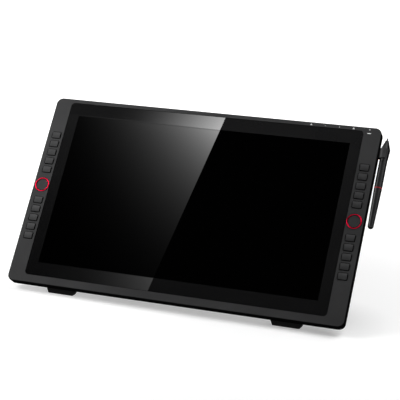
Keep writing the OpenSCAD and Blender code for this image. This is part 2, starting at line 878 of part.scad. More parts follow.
// Tip cone of the pen
module pen_tip() {
    color("#2c2c2e") seat() difference() {
        at_pen(-cone_len) cylinder(r1 = cone_tip_r, r2 = grip_r, h = cone_len);
        at_pen(-cone_len - cut) cylinder(r = nib_r + run, h = nib_in + cut);
    }
}

// Nib
module pen_nib() {
    color("#1a1a1a") seat() {
        at_pen(-cone_len - nib_len + nib_r) cylinder(r = nib_r, h = nib_len + nib_in - nib_r);
        at_pen(-cone_len - nib_len + nib_r) sphere(nib_r);
    }
}

// Flared grip sleeve
module pen_grip() {
    color("#2c2c2e") seat() difference() {
        at_pen(0) cylinder(r1 = grip_r, r2 = grip_end_r, h = grip_len);
        at_pen(grip_len - spigot_len) cylinder(r = spigot_r + run, h = spigot_len + cut);
    }
}

// Radius of the barrel at a distance behind the grip
function barrel_at(d) = barrel_r + (tail_r - barrel_r) * max(0, d - ring_at) / (barrel_len - ring_at);

// Barrel with the spigot, the red ring's groove and the rocker's slot
module pen_barrel() {
    slot_len = rocker_len + 2 * free;
    color("#242426") seat() difference() {
        union() {
            at_pen(grip_len - spigot_len) cylinder(r = spigot_r, h = spigot_len + cut);
            at_pen(grip_len) cylinder(r = barrel_r, h = ring_at);
            at_pen(grip_len + ring_at)
                cylinder(r1 = barrel_r, r2 = tail_r, h = barrel_len - ring_at - tail_r);
            at_pen(grip_len + barrel_len - tail_r) sphere(tail_r);
        }
        at_pen(grip_len + ring_at - ring_w) difference() {
            cylinder(r = barrel_r + cut, h = ring_w);
            translate([0, 0, -cut]) cylinder(r = barrel_r - ring_deep, h = ring_w + 2 * cut);
        }
        at_rocker(-free) translate([-rocker_w / 2 - free, -2 * barrel_r, 0])
            cube([rocker_w + 2 * free, 2 * barrel_r - rocker_floor, slot_len]);
        at_rocker(rocker_len / 2) translate([0, -rocker_pivot, 0]) rotate([0, 90, 0])
            cylinder(r = rocker_pivot_r + run, h = rocker_w + 2 * free + 2 * rocker_stub, center = true);
    }
}

// Red ring in the barrel's groove
module pen_ring() {
    color("#c40a2e") seat() at_pen(grip_len + ring_at - ring_w) difference() {
        cylinder(r = barrel_r, h = ring_w);
        translate([0, 0, -cut]) cylinder(r = barrel_r - ring_deep, h = ring_w + 2 * cut);
    }
}

// Rocker button on the barrel, with pivot stubs
module pen_rocker() {
    color("#19191b") seat() at_rocker() {
        translate([0, -rocker_under, rocker_len / 2]) rotate([90, 0, 0])
            linear_extrude(rocker_top - rocker_under) rounded(rocker_w, rocker_len, rocker_w / 2 - 0.2);
        translate([0, -rocker_pivot, rocker_len / 2]) rotate([0, 90, 0])
            cylinder(r = rocker_pivot_r, h = rocker_w + 2 * rocker_stub, center = true);
    }
}

// Hinge bracket on the back, with ears for the hinge pin and lugs for the lever's pin
module stand_bracket() {
    plate_mid = hinge_rise + (bracket_up - bracket_down) / 2;
    lug_u = lever_w / 2 + free + lug_t / 2;
    color("#2b2b2d") seat() difference() {
        union() {
            translate([0, plate_mid, 0])
                plate(bracket_w, bracket_up + bracket_down, 4, case_d, case_d + bracket_t);
            for (x = [-1, 1]) translate([x * (bracket_w - ear_t) / 2, 0, 0])
                across(ear_t) ear_form(hinge_rise, hinge_n, ear_r);
            for (x = [-1, 1]) translate([x * lug_u, 0, 0]) across(lug_t) ear_form(lever_v, lever_n, lever_r);
        }
        translate([0, hinge_rise, hinge_n]) rotate([0, 90, 0])
            cylinder(r = hinge_pin_r + run, h = bracket_w + 2 * cut, center = true);
        translate([0, lever_v, lever_n]) rotate([0, 90, 0])
            cylinder(r = lever_pin_r + run, h = lever_w + 4 * lug_t, center = true);
        for (p = stand_screw_places) post(p, stand_screw_r + run, case_d - cut, case_d + bracket_t + cut);
    }
}

// Round-ended ear that rises from the bracket's plate
module ear_form(v, n, r) {
    translate([v, n]) circle(r);
    translate([v - r, n]) square([2 * r, -case_d - bracket_t / 2 - n]);
}

// Screws that hold the bracket to the rear cover
module stand_screws() {
    face = case_d + bracket_t + stand_screw_head_t;
    color("#4a4a4c") seat() for (p = stand_screw_places) difference() {
        union() {
            post(p, stand_screw_head_r, case_d + bracket_t, face);
            post(p, stand_screw_r, case_d - stand_screw_len, face);
        }
        cross(p, stand_screw_cross, face);
    }
}

// Hinge pin and lever pin
module stand_pins() {
    color("#b4b7ba") seat() {
        translate([0, hinge_rise, hinge_n]) rotate([0, 90, 0])
            cylinder(r = hinge_pin_r, h = bracket_w, center = true);
        translate([0, lever_v, lever_n]) rotate([0, 90, 0])
            cylinder(r = lever_pin_r, h = lever_w + 2 * free + 2 * lug_t, center = true);
    }
}

// Moves to the hinge and opens the leg, which is drawn folded: it hangs along -Y from the hinge
module at_hinge() {
    translate([0, hinge_rise, hinge_n]) rotate([leg_open, 0, 0]) children();
}

// Outline of the leg's plate, drawn in by an edge; it widens below the bracket's ears
module leg_outline(edge) {
    top = hub_len / 2 - edge;
    low = leg_end_w / 2 - edge;
    neck = -ear_r - 2 * free - edge;
    end = -leg_len + leg_in_pad + edge;
    polygon([[-top, -edge], [-top, neck], [-low, end], [low, end], [top, neck], [top, -edge]]);
}

// Folding leg with its hub
module stand_leg() {
    color("#2b2b2d") seat() at_hinge() difference() {
        union() {
            rotate([0, 90, 0]) cylinder(r = hub_r, h = hub_len, center = true);
            translate([0, 0, -leg_t / 2]) linear_extrude(leg_t) leg_outline(0);
        }
        rotate([0, 90, 0]) cylinder(r = hinge_pin_r + run, h = hub_len + 2 * cut, center = true);
        translate([0, 0, -leg_t / 2 - cut]) linear_extrude(cut + leg_panel)
            intersection() {
                leg_outline(leg_panel_rim);
                translate([-leg_end_w, -leg_len + pad_r + leg_panel_rim])
                    square([2 * leg_end_w, leg_len - pad_r - hub_r - 2 * leg_panel_rim]);
            }
    }
}

// Rubber pad on the end of the leg, flat where it meets the desk
module leg_pad() {
    color("#141414") seat() at_hinge() difference() {
        translate([0, -leg_len, 0]) intersection() {
            rotate([0, 90, 0]) cylinder(r = pad_r, h = pad_len, center = true);
            rotate([-tilt - leg_open, 0, 0]) translate([-body_w, -2 * pad_r, pad_flat - pad_r])
                cube([2 * body_w, 4 * pad_r, 4 * pad_r]);
        }
        translate([0, 0, -leg_t / 2]) linear_extrude(leg_t) leg_outline(0);
    }
}

// Release lever: a paddle above its pin and a brake shoe that reaches down to the hub
module release_lever() {
    shoe_len = lever_up - hub_r - shoe_gap;
    color("#1c1c1e") seat() translate([0, lever_v, lever_n]) difference() {
        union() {
            rotate([0, 90, 0]) cylinder(r = lever_r - free, h = lever_w, center = true);
            translate([0, paddle_len / 2, -lever_r + free + paddle_t / 2])
                cube([lever_w, paddle_len, paddle_t], center = true);
            translate([0, -shoe_len / 2, 0]) cube([lever_w, shoe_len, shoe_t], center = true);
        }
        rotate([0, 90, 0]) cylinder(r = lever_pin_r + run, h = lever_w + 2 * cut, center = true);
    }
}

front_frame();
cover_glass();
glass_tape();
lcd_panel();
light_guide();
backlight_tray();
digitizer_board();
chassis_plate();
main_board();
rear_cover();
mount_inserts();
case_screws();
key_boards();
tact_switches();
dial_hubs();
dial_encoders();
edge_boards();
power_light();
usb_sockets();
desk_feet();
pen_holder();
stand_bracket();
stand_screws();
stand_pins();
for (side = [0, 1], i = [0:9]) {
    key(2 * side - 1, key_places[i], i == 2 || i == 7);
}
dial(-1);  // left_dial
dial(1);  // right_dial
for (i = [0:4]) {
    edge_button(button_places[i]);
}
stand_leg();
leg_pad();
release_lever();
pen_tip();
pen_grip();
pen_barrel();
pen_nib();
pen_ring();
pen_rocker();
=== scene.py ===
# %% [markdown]
# # A pen display on its stand
# This lesson dresses a drawing tablet with a built-in screen: a dark moulded frame round a black
# glass, shortcut keys and a red dial down each side, a pen in a side holder and a folding leg behind.
# The solids come ready-made from the CAD model, in metres, already standing on the desk.
# They are loaded first, because every other piece is placed from them.

import math

import bmesh
import bpy
from mathutils import Euler, Matrix, Vector


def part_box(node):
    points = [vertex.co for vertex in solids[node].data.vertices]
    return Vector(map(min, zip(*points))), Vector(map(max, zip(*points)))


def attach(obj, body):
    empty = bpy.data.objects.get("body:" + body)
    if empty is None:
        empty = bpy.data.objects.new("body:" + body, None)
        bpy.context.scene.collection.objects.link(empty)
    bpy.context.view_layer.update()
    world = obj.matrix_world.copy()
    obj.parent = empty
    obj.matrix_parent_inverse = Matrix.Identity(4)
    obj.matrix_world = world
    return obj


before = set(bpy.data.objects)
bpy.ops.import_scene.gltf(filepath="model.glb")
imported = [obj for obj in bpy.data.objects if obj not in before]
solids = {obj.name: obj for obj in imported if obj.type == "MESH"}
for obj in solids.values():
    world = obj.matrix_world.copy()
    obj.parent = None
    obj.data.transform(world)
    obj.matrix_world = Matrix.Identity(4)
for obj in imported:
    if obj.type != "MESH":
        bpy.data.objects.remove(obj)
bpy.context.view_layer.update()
scene = bpy.context.scene
scene.view_settings.view_transform = "Standard"

# %% [markdown]
# ## The tablet's own axes
# The screen leans back, so sizes are easier to give along the screen: u to the right, v up the
# screen and n out of it, from the screen's centre. One matrix turns those into the desk's X, Y, Z.
# The numbers repeat the CAD model's, in millimetres.

# %% Screen axes
MM = 0.001
TILT = math.radians(49.65)
CENTRE_Y, CENTRE_Z = 100.7218, 146.8217
SCREEN_W, SCREEN_H = 476.1, 267.8
SEAT = Matrix.Translation((0, CENTRE_Y * MM, CENTRE_Z * MM)) @ Matrix.Rotation(TILT, 4, "X")


def at(u, v, n=0.0):
    """A place on the tablet, in millimetres along the screen, as a point in the desk's frame."""
    return SEAT @ Vector((u * MM, v * MM, n * MM))


def along_screen(u, v, n):
    """A direction given along the screen's axes, as a unit vector in the desk's frame."""
    return (SEAT.to_3x3() @ Vector((u, v, n))).normalized()


FRONT = along_screen(0, 0, 1)
print("screen centre", [round(c, 4) for c in at(0, 0)])

# %% [markdown]
# ## Camera
# The picture was taken from the tablet's right, a little above it, with a long lens. The lens and
# the place come from lining up the glass's four corners and the case's edges with the photograph.
# The eye's place is given in millimetres from the screen's centre, along the camera's own axes.

# %% Camera
SENSOR, LENS, FARTHEST = 36.0, 124.68, 100
AZIMUTH, ELEVATION = math.radians(19.988), math.radians(18.924)
EYE_RIGHT, EYE_UP, EYE_BACK = 13.208, 5.308, 2249.145
camera_data = bpy.data.cameras.new("camera")
camera = bpy.data.objects.new("camera", camera_data)
scene.collection.objects.link(camera)
camera_data.sensor_width = SENSOR
camera_data.lens = LENS
camera_data.clip_end = FARTHEST
sin_az, cos_az = math.sin(AZIMUTH), math.cos(AZIMUTH)
sin_el, cos_el = math.sin(ELEVATION), math.cos(ELEVATION)
right = Vector((cos_az, sin_az, 0))
up = Vector((-sin_az * sin_el, cos_az * sin_el, cos_el))
back = Vector((sin_az * cos_el, -cos_az * cos_el, sin_el))
eye = at(0, 0) + (right * EYE_RIGHT + up * EYE_UP + back * EYE_BACK) * MM
camera.matrix_world = Matrix((right, up, back)).transposed().to_4x4()
camera.location = eye
scene.camera = camera
print("camera at", [round(c, 3) for c in eye])

# %% [markdown]
# ## Reflecting the light in the glass
# A black glass looks like its reflections. In the photograph a bright wedge with one straight edge
# lies over the screen's upper left. So the soft box is placed backwards: rays from the camera are
# bounced off the glass, and the box's corners are put where they arrive. The rays are named by the
# column and row of the picture that they pass through.

# %% Rays off the glass
PICTURE_MIDDLE = 200
FOCUS = 1385.29
GLASS_FACE = -0.3
BOX_FACES = Vector((-0.3235, -0.4637, 0.8244)).normalized()
BOX_REACH = 1.5


def bounce(column, row):
    """Where the ray through a place in the 400 x 400 picture meets the soft box, by way of the glass."""
    ray = (right * (column - PICTURE_MIDDLE) - up * (row - PICTURE_MIDDLE) - back * FOCUS).normalized()
    hit = eye + ray * ((at(0, 0, GLASS_FACE) - eye).dot(FRONT) / ray.dot(FRONT))
    away = ray - 2 * ray.dot(FRONT) * FRONT
    plane = at(0, 0) + BOX_FACES * BOX_REACH
    return hit + away * ((plane - hit).dot(BOX_FACES) / away.dot(BOX_FACES))


print("picture's middle reflects", [round(c, 2) for c in bounce(PICTURE_MIDDLE, PICTURE_MIDDLE)])

# %% [markdown]
# ## Building blocks for materials
# Every finish is made of nodes that read Object coordinates, so its grain keeps its real size on
# every piece. A few short helpers keep the node code readable: one adds a node, one links sockets,
# and others make the noise, waves, colours and bumps that most finishes share.

# %% Node helpers
PER_METRE = 1000.0
WAVE_RATE = 20.0  # a wave texture runs through so many radians in a unit
NOISE_LOW, NOISE_HIGH = 0.3, 0.7


class Finish:
    """A material with its output and main shader, and short calls to add nodes to it."""

    def __init__(self, name):
        self.material = bpy.data.materials.new(name)
        self.material.use_nodes = True
        self.tree = self.material.node_tree
        self.shader = self.tree.nodes["Principled BSDF"]
        self.coordinates = self.tree.nodes.new("ShaderNodeTexCoord").outputs["Object"]

    def node(self, kind, **values):
        made = self.tree.nodes.new(kind)
        for key, value in values.items():
            if hasattr(made, key):
                setattr(made, key, value)
            else:
                made.inputs[key.replace("_", " ")].default_value = value
        return made

    def link(self, source, target):
        self.tree.links.new(source, target)

    def set(self, **values):
        for key, value in values.items():
            self.shader.inputs[key.replace("_", " ")].default_value = value
        return self

    def math(self, operation, a, b=0.0, c=0.0):
        made = self.tree.nodes.new("ShaderNodeMath")
        made.operation = operation
        for socket, value in zip(made.inputs, (a, b, c)):
            if isinstance(value, (int, float)):
                socket.default_value = value
            else:
                self.link(value, socket)
        return made.outputs[0]

    def turned(self, place=None):
        """Coordinates along the screen (u, v, n, in metres) from a place given the same way, in mm."""
        turn = Euler((-TILT, 0, 0))
        shift = -(turn.to_matrix() @ at(*(place or (0, 0, 0))))
        mapping = self.node("ShaderNodeMapping", vector_type="POINT")
        mapping.inputs["Rotation"].default_value = turn
        mapping.inputs["Location"].default_value = shift
        self.link(self.coordinates, mapping.inputs["Vector"])
        return mapping.outputs["Vector"]

    def split(self, vector):
        """The X, Y and Z of a vector."""
        made = self.node("ShaderNodeSeparateXYZ")
        self.link(vector, made.inputs["Vector"])
        return made.outputs

    def facing(self, towards):
        """How far a face looks in a direction: 1 is straight that way, 0 is at right angles to it."""
        made = self.node("ShaderNodeVectorMath", operation="DOT_PRODUCT")
        made.inputs[1].default_value = towards
        self.link(self.node("ShaderNodeNewGeometry").outputs["Normal"], made.inputs[0])
        return made.outputs["Value"]

    def noise(self, size, detail=2.0, stretch=None):
        """Noise whose features are about this many millimetres across."""
        vector = self.coordinates
        if stretch:
            mapping = self.node("ShaderNodeMapping", vector_type="POINT")
            mapping.inputs["Scale"].default_value = stretch
            self.link(vector, mapping.inputs["Vector"])
            vector = mapping.outputs["Vector"]
        made = self.node("ShaderNodeTexNoise", Scale=PER_METRE / size, Detail=detail)
        self.link(vector, made.inputs["Vector"])
        return made.outputs["Fac"]

    def waves(self, kind, pitch, vector):
        """Bands across X or rings round Z, this many millimetres apart."""
        scale = math.tau * PER_METRE / (WAVE_RATE * pitch)
        made = self.node("ShaderNodeTexWave", wave_type=kind, Scale=scale)
        made.bands_direction = "X"
        made.rings_direction = "Z"
        self.link(vector, made.inputs["Vector"])
        return made.outputs["Fac"]

    def between(self, factor, low, high, start=NOISE_LOW, end=NOISE_HIGH):
        """Spreads a factor over a range of values."""
        made = self.node("ShaderNodeMapRange", clamp=True)
        for key, value in (("From Min", start), ("From Max", end), ("To Min", low), ("To Max", high)):
            made.inputs[key].default_value = value
        self.link(factor, made.inputs["Value"])
        return made.outputs["Result"]

    def colours(self, factor, *stops):
        """A colour ramp: stops are (position, (r, g, b))."""
        ramp = self.node("ShaderNodeValToRGB")
        while len(ramp.color_ramp.elements) < len(stops):
            ramp.color_ramp.elements.new(0.5)
        for element, (position, colour) in zip(ramp.color_ramp.elements, stops):
            element.position = position
            element.color = (*colour, 1)
        self.link(factor, ramp.inputs["Fac"])
        return ramp.outputs["Color"]

    def mottled(self, noise, dark, light):
        """Two colours that noise mixes over the middle of its range."""
        return self.colours(noise, (NOISE_LOW, dark), (NOISE_HIGH, light))

    def mixed(self, factor, one, two):
        """The second colour where the factor is 1, the first where it is 0."""
        made = self.node("ShaderNodeMix", data_type="RGBA")
        self.link(factor, made.inputs["Factor"])
        if isinstance(one, tuple):
            made.inputs["A"].default_value = (*one, 1)
        else:
            self.link(one, made.inputs["A"])
        self.link(two, made.inputs["B"])
        return made.outputs["Result"]

    def scaled(self, colour, tone):
        """A colour made lighter or darker by a factor."""
        made = self.node("ShaderNodeVectorMath", operation="SCALE")
        self.link(colour, made.inputs["Vector"])
        self.link(tone, made.inputs["Scale"])
        return made.outputs["Vector"]

    def paint(self, colour):
        self.link(colour, self.shader.inputs["Base Color"])
        return self

    def painted(self):
        """The colour that the shader has so far."""
        return self.shader.inputs["Base Color"].links[0].from_socket

    def rough(self, value):
        self.link(value, self.shader.inputs["Roughness"])
        return self

    def relief(self, height, depth):
        """Bump of so many millimetres."""
        bump = self.node("ShaderNodeBump", Strength=1.0, Distance=depth * MM)
        self.link(height, bump.inputs["Height"])
        self.link(bump.outputs["Normal"], self.shader.inputs["Normal"])
        return self


def shade(colour, factor):
    return tuple(min(1.0, c * factor) for c in colour)


dressed = set()


def dress(finish, *names):
    """Gives solids their finish."""
    for name in names:
        slots = solids[name].data.materials
        slots.clear()
        slots.append(finish.material)
    dressed.update(names)


print("helpers ready")

# %% [markdown]
# ## Moulded plastic
# The frame, keys and rear cover are injection moulded with a fine spark texture: tiny pits that
# scatter the light, so the plastic looks satin. Fine noise gives the pits, and a slow noise gives
# the slight unevenness of colour and sheen that large mouldings have.
#
# Four small steps change such a finish. One keeps it on the faces that look one way and paints the
# walls dull and nearly black, as they are in the photograph: painted shade over dark plastic walls.
# One lightens faces that lean one way and darkens those that lean the other, painted light and shade
# on the keys' tops. One paints a slow change of light along the screen, and one paints the part of
# the pen's holder next to the case black, a painted shadow.


# %% Moulded plastic
SMOOTHER, ROUGHER = 0.05, 0.07


def moulded(name, colour, roughness, pit=0.35, depth=0.012, cloud=60.0, spread=0.12):
    """Satin plastic with fine pits, and slow clouds in its colour; pit, depth and cloud in millimetres."""
    made = Finish(name)
    pits = made.noise(pit, detail=3.0)
    clouds = made.noise(cloud, detail=2.0)
    made.paint(made.mottled(clouds, shade(colour, 1 - spread), shade(colour, 1 + spread)))
    made.rough(made.between(pits, roughness - SMOOTHER, roughness + ROUGHER))
    made.relief(pits, depth)
    return made


FRAME_GREY = (0.052, 0.052, 0.053)
# The near-black painted on walls and in grooves as shade.
SHADE_BLACK = (0.0035, 0.0035, 0.0036)


def painted_shade_walls(made, towards, start, end, gloss):
    """Keeps a finish on faces that look one way; walls at right angles to it are painted dull and near-black,
    painted shade.
    """
    unshaded = made.between(made.facing(towards), 0.0, 1.0, start, end)
    made.set(Specular_IOR_Level=gloss)
    made.link(made.math("MULTIPLY", unshaded, gloss), made.shader.inputs["Specular IOR Level"])
    return made.paint(made.mixed(unshaded, SHADE_BLACK, made.painted()))


def painted_root_shadow(made, start, end):
    """Paints a finish black to the left of a place along u, over a short fade: a painted shadow."""
    unshadowed = made.between(made.split(made.turned())["X"], 0.0, 1.0, start * MM, end * MM)
    return made.paint(made.mixed(unshadowed, SHADE_BLACK, made.painted()))


def painted_slope_light(made, towards, low, high, reach):
    """Painted light and shade: lightens a finish on faces that lean one way and darkens it on faces that lean
    the other way.
    """
    tone = made.between(made.facing(towards), low, high, -reach, reach)
    return made.paint(made.scaled(made.painted(), tone))


def painted_screen_light(made, middle, per_u, per_v):
    """Paints light that grows along u and v, by so much a metre."""
    along = made.split(made.turned())
    across = made.math("MULTIPLY_ADD", along["X"], per_u, middle)
    tone = made.math("MULTIPLY_ADD", along["Y"], per_v, across)
    return made.paint(made.scaled(made.painted(), tone))


frame_finish = moulded("satin_frame_paint", FRAME_GREY, roughness=0.6)
# Painted light: the frame is made lighter upwards and to the left.
painted_screen_light(frame_finish, middle=0.98, per_u=-0.15, per_v=0.65)
# Painted shade: the frame's walls, the key windows' walls and its left edge are painted near-black and dull.
painted_shade_walls(frame_finish, along_screen(0.25, 0, 1), start=0.86, end=0.96, gloss=0.08)
KEY_GREY = (0.050, 0.050, 0.051)
key_finish = moulded("satin_key_plastic", KEY_GREY, roughness=0.5, pit=0.3, cloud=9.0, spread=0.08)
# Painted light and shade: key tops are lighter where they lean up and darker where they lean down; their
# walls are painted near-black as shade in the grooves.
painted_slope_light(key_finish, along_screen(0.35, 1, 0), low=0.67, high=1.33, reach=0.22)
painted_shade_walls(key_finish, along_screen(0.15, 0.4, 1), start=0.70, end=0.84, gloss=0.15)
rear_finish = moulded("textured_rear_plastic", (0.011, 0.011, 0.012), roughness=0.55, pit=0.6, depth=0.03)
# Painted shade: the rear cover's rim walls are painted near-black and dull.
painted_shade_walls(rear_finish, -FRONT, start=0.05, end=0.2, gloss=0.4)
holder_finish = moulded("satin_holder_plastic", FRAME_GREY, roughness=0.45, pit=0.3, cloud=8.0)
# Painted shade and shadow: the holder's walls are painted near-black, and its root next to the case is
# painted black as the case's shadow.
painted_shade_walls(holder_finish, FRONT, start=0.1, end=0.45, gloss=0.2)
painted_root_shadow(holder_finish, start=288.6, end=289.2)
switch_finish = moulded("switch_plastic", (0.012, 0.012, 0.013), roughness=0.5, cloud=5.0)
lever_finish = moulded("lever_plastic", (0.012, 0.012, 0.013), roughness=0.45, pit=0.4, cloud=20.0)
KEYS = [f"{side}_key_{i}" for side in ("left", "right") for i in range(1, 11)]
BUTTONS = [f"menu_button_{i}" for i in range(1, 5)] + ["power_button"]
dress(frame_finish, "front_frame", "dial_hubs")
dress(key_finish, *KEYS, *BUTTONS)
dress(rear_finish, "rear_cover")
dress(holder_finish, "pen_holder")
dress(switch_finish, "tact_switches", "dial_encoders")
dress(lever_finish, "release_lever")
print("moulded plastic on", len(dressed), "solids")

# %% [markdown]
# ## Cover glass
# The glass is clear, but from outside it shows what lies behind it: a printed border in very dark
# grey and the unlit panel, which is black. A mask measured along the screen tells them apart. The
# border is painted a little lighter upwards and to the right, painted light. The surface itself is
# almost perfectly smooth, with only a trace of smears in its sheen.

# %% Cover glass
BORDER_DARK, BORDER_LIGHT = (0.0105, 0.0105, 0.0108), (0.0125, 0.0125, 0.0128)
BORDER_TONE, TONE_LEFT, TONE_RIGHT, TONE_UP = 0.95, 1.0, 0.3, 1.8
PANEL_DARK, PANEL_LIGHT = (0.0001, 0.0001, 0.0001), (0.0003, 0.0003, 0.0004)
STRIPE_PITCH = 1.5708
glass_finish = Finish("cover_glass").set(IOR=1.5)
along = glass_finish.split(glass_finish.turned())
in_width = glass_finish.math("LESS_THAN", glass_finish.math("ABSOLUTE", along["X"]), SCREEN_W / 2 * MM)
in_height = glass_finish.math("LESS_THAN", glass_finish.math("ABSOLUTE", along["Y"]), SCREEN_H / 2 * MM)
lit_area = glass_finish.math("MULTIPLY", in_width, in_height)
smears = glass_finish.noise(size=70.0, detail=3.0)
border = glass_finish.mottled(smears, BORDER_DARK, BORDER_LIGHT)
stripes = glass_finish.waves("BANDS", STRIPE_PITCH, glass_finish.turned())
panel = glass_finish.colours(stripes, (0.0, PANEL_DARK), (1.0, PANEL_LIGHT))
# Painted light: the border is made lighter upwards and towards the right.
on_left = glass_finish.math("MULTIPLY", along["X"], TONE_LEFT)
on_right = glass_finish.math("MULTIPLY", along["X"], TONE_RIGHT)
painted_light_across = glass_finish.math("ADD", glass_finish.math("MINIMUM", on_left, on_right), BORDER_TONE)
border_painted_light = glass_finish.math("MULTIPLY_ADD", along["Y"], TONE_UP, painted_light_across)
glass_finish.paint(glass_finish.mixed(lit_area, glass_finish.scaled(border, border_painted_light), panel))
glass_finish.rough(glass_finish.between(smears, low=0.0, high=0.02))
dress(glass_finish, "cover_glass")
print("glass border and panel masked at", SCREEN_W, "x", SCREEN_H)

# %% [markdown]
# ## Red dials
# The dial rings are turned from aluminium and dyed red. A lathe leaves fine circles round the
# dial's axis, so the bump is a ring wave centred on each dial, and the sheen is metallic. The walls
# of the ring are painted dull and near-black, painted shade, as on the frame.

# %% Red dials
DIAL_RED = (0.82, 0.002, 0.044)
DIAL_U, DIAL_V = 269.6, 1.9
CIRCLE_PITCH, CIRCLE_DEPTH = 1.885, 0.0006


def dyed_ring(name, u, v):
    """Red metal with lathe circles round a place on the screen's plane."""
    made = Finish(name).set(Metallic=1.0, Coat_Weight=0.08, Coat_Roughness=0.2)
    circles = made.waves("RINGS", CIRCLE_PITCH, made.turned((u, v, 0)))
    made.paint(made.mottled(made.noise(size=6.0), shade(DIAL_RED, 0.88), shade(DIAL_RED, 1.1)))
    made.rough(made.between(circles, low=0.28, high=0.35, start=0.0, end=1.0))
    made.relief(circles, CIRCLE_DEPTH)
    # Painted shade: the ring's walls are painted near-black and dull.
    return painted_shade_walls(made, FRONT, start=0.1, end=0.5, gloss=0.5)


dress(dyed_ring("red_dial_left", -DIAL_U, DIAL_V), "left_dial")
dress(dyed_ring("red_dial_right", DIAL_U, DIAL_V), "right_dial")
print("two dyed rings")

# %% [markdown]
# ## Pen
# The pen is smooth moulded plastic with a soft gloss; both its sides are painted black, painted shade.
# The tip's cone is a duller and lighter plastic, painted black on its right side, painted shade. The
# red band is bare dyed plastic, and the nib is a plain hard plastic that wears to a slightly rough point.

# %% Pen
pen_finish = moulded("pen_plastic", (0.019, 0.019, 0.020), roughness=0.28, pit=0.25, depth=0.001, cloud=14.0)
# Painted shade: the barrel and grip are painted black along both sides.
painted_shade_walls(pen_finish, along_screen(0.2, 0, 0.98), start=0.74, end=0.86, gloss=0.6)
tip_finish = moulded("pen_tip_plastic", (0.05, 0.05, 0.051), roughness=0.4, pit=0.25, depth=0.002, cloud=8.0)
# Painted shade: the tip's right side is painted black.
painted_shade_walls(tip_finish, along_screen(-0.25, 0.3, 0.93), start=0.62, end=0.85, gloss=0.15)
band_finish = moulded("pen_red_band", (0.55, 0.002, 0.014), roughness=0.3, pit=0.25, depth=0.002, cloud=4.0)
band_finish.set(Specular_IOR_Level=0.2)
nib_finish = moulded("pen_nib_plastic", (0.014, 0.014, 0.014), roughness=0.5, pit=0.2, depth=0.006, cloud=2.0)
ROCKER_BLACK = (0.008, 0.008, 0.009)
rocker_finish = moulded("pen_rocker_plastic", ROCKER_BLACK, roughness=0.38, pit=0.25, depth=0.006, cloud=6.0)
dress(pen_finish, "pen_grip", "pen_barrel")
dress(tip_finish, "pen_tip")
dress(band_finish, "pen_ring")
dress(nib_finish, "pen_nib")
dress(rocker_finish, "pen_rocker")
print("pen finishes ready")

# %% [markdown]
# ## Stand, feet and small metal
# The leg is brushed aluminium under a black dye, brushed along its length. The bracket has a powder
# coat with its orange-peel skin. Feet and pad are matte rubber. Screws, pins and inserts are metal.
# Brushing is noise stretched along one axis, so it looks like fine lines.

# %% Stand, feet and small metal
LINE_DARK, LINE_LIGHT = 0.85, 1.15
LINE_SMOOTHER, LINE_ROUGHER = 0.06, 0.08
LINE_DEPTH = 0.004
LEG_BLACK = (0.030, 0.030, 0.031)
BRACKET_BLACK = (0.016, 0.016, 0.017)


def brushed(name, colour, roughness, stretch, metallic=1.0, line=0.25):
    """Metal with fine lines, so many millimetres wide, drawn out along the axis of least stretch."""
    made = Finish(name).set(Metallic=metallic)
    lines = made.noise(line, detail=2.0, stretch=stretch)
    made.paint(made.mottled(lines, shade(colour, LINE_DARK), shade(colour, LINE_LIGHT)))
    made.rough(made.between(lines, roughness - LINE_SMOOTHER, roughness + LINE_ROUGHER))
    made.relief(lines, LINE_DEPTH)
    return made


def rubber(name, colour):
    """Matte rubber with a fine grain and a little dust."""
    made = Finish(name).set(Specular_IOR_Level=0.3)
    grain = made.noise(size=0.5, detail=3.0)
    dust = made.noise(size=18.0, detail=4.0)
    made.paint(made.colours(dust, (0.35, colour), (0.8, shade(colour, 1.7))))
    made.rough(made.between(grain, low=0.72, high=0.9))
    made.relief(grain, depth=0.03)
    return made


leg_finish = brushed("dyed_leg_aluminium", LEG_BLACK, roughness=0.42, stretch=(1.0, 0.02, 0.02), metallic=0.7)
bracket_finish = moulded("powder_coated_bracket", BRACKET_BLACK, 0.5, pit=1.2, depth=0.03, cloud=25.0)
rubber_finish = rubber("foot_rubber", (0.006, 0.006, 0.006))
screw_finish = brushed("blackened_steel", (0.09, 0.09, 0.092), roughness=0.35, stretch=(1.0, 1.0, 0.2))
brass_finish = brushed("insert_brass", (0.55, 0.36, 0.13), roughness=0.3, stretch=(1.0, 1.0, 0.1))
socket_finish = brushed("plated_steel", (0.58, 0.59, 0.61), roughness=0.25, stretch=(0.1, 1.0, 1.0))
SHEET_GREY = (0.42, 0.43, 0.44)
sheet_finish = brushed("bare_sheet_aluminium", SHEET_GREY, roughness=0.4, stretch=(0.02, 1.0, 1.0), line=0.4)
dress(leg_finish, "stand_leg")
dress(bracket_finish, "stand_bracket")
dress(rubber_finish, "desk_feet", "leg_pad")
dress(screw_finish, "case_screws", "stand_screws", "stand_pins")
dress(brass_finish, "mount_inserts")
dress(socket_finish, "usb_sockets")
dress(sheet_finish, "backlight_tray", "chassis_plate")
print("stand and metal finishes ready")

# %% [markdown]
# ## Inside the case
# The layers behind the glass hardly show, but they are finished too, so that an opened tablet looks
# right: a striped panel, a light guide with its dots, green boards with copper tracks, foam tape.

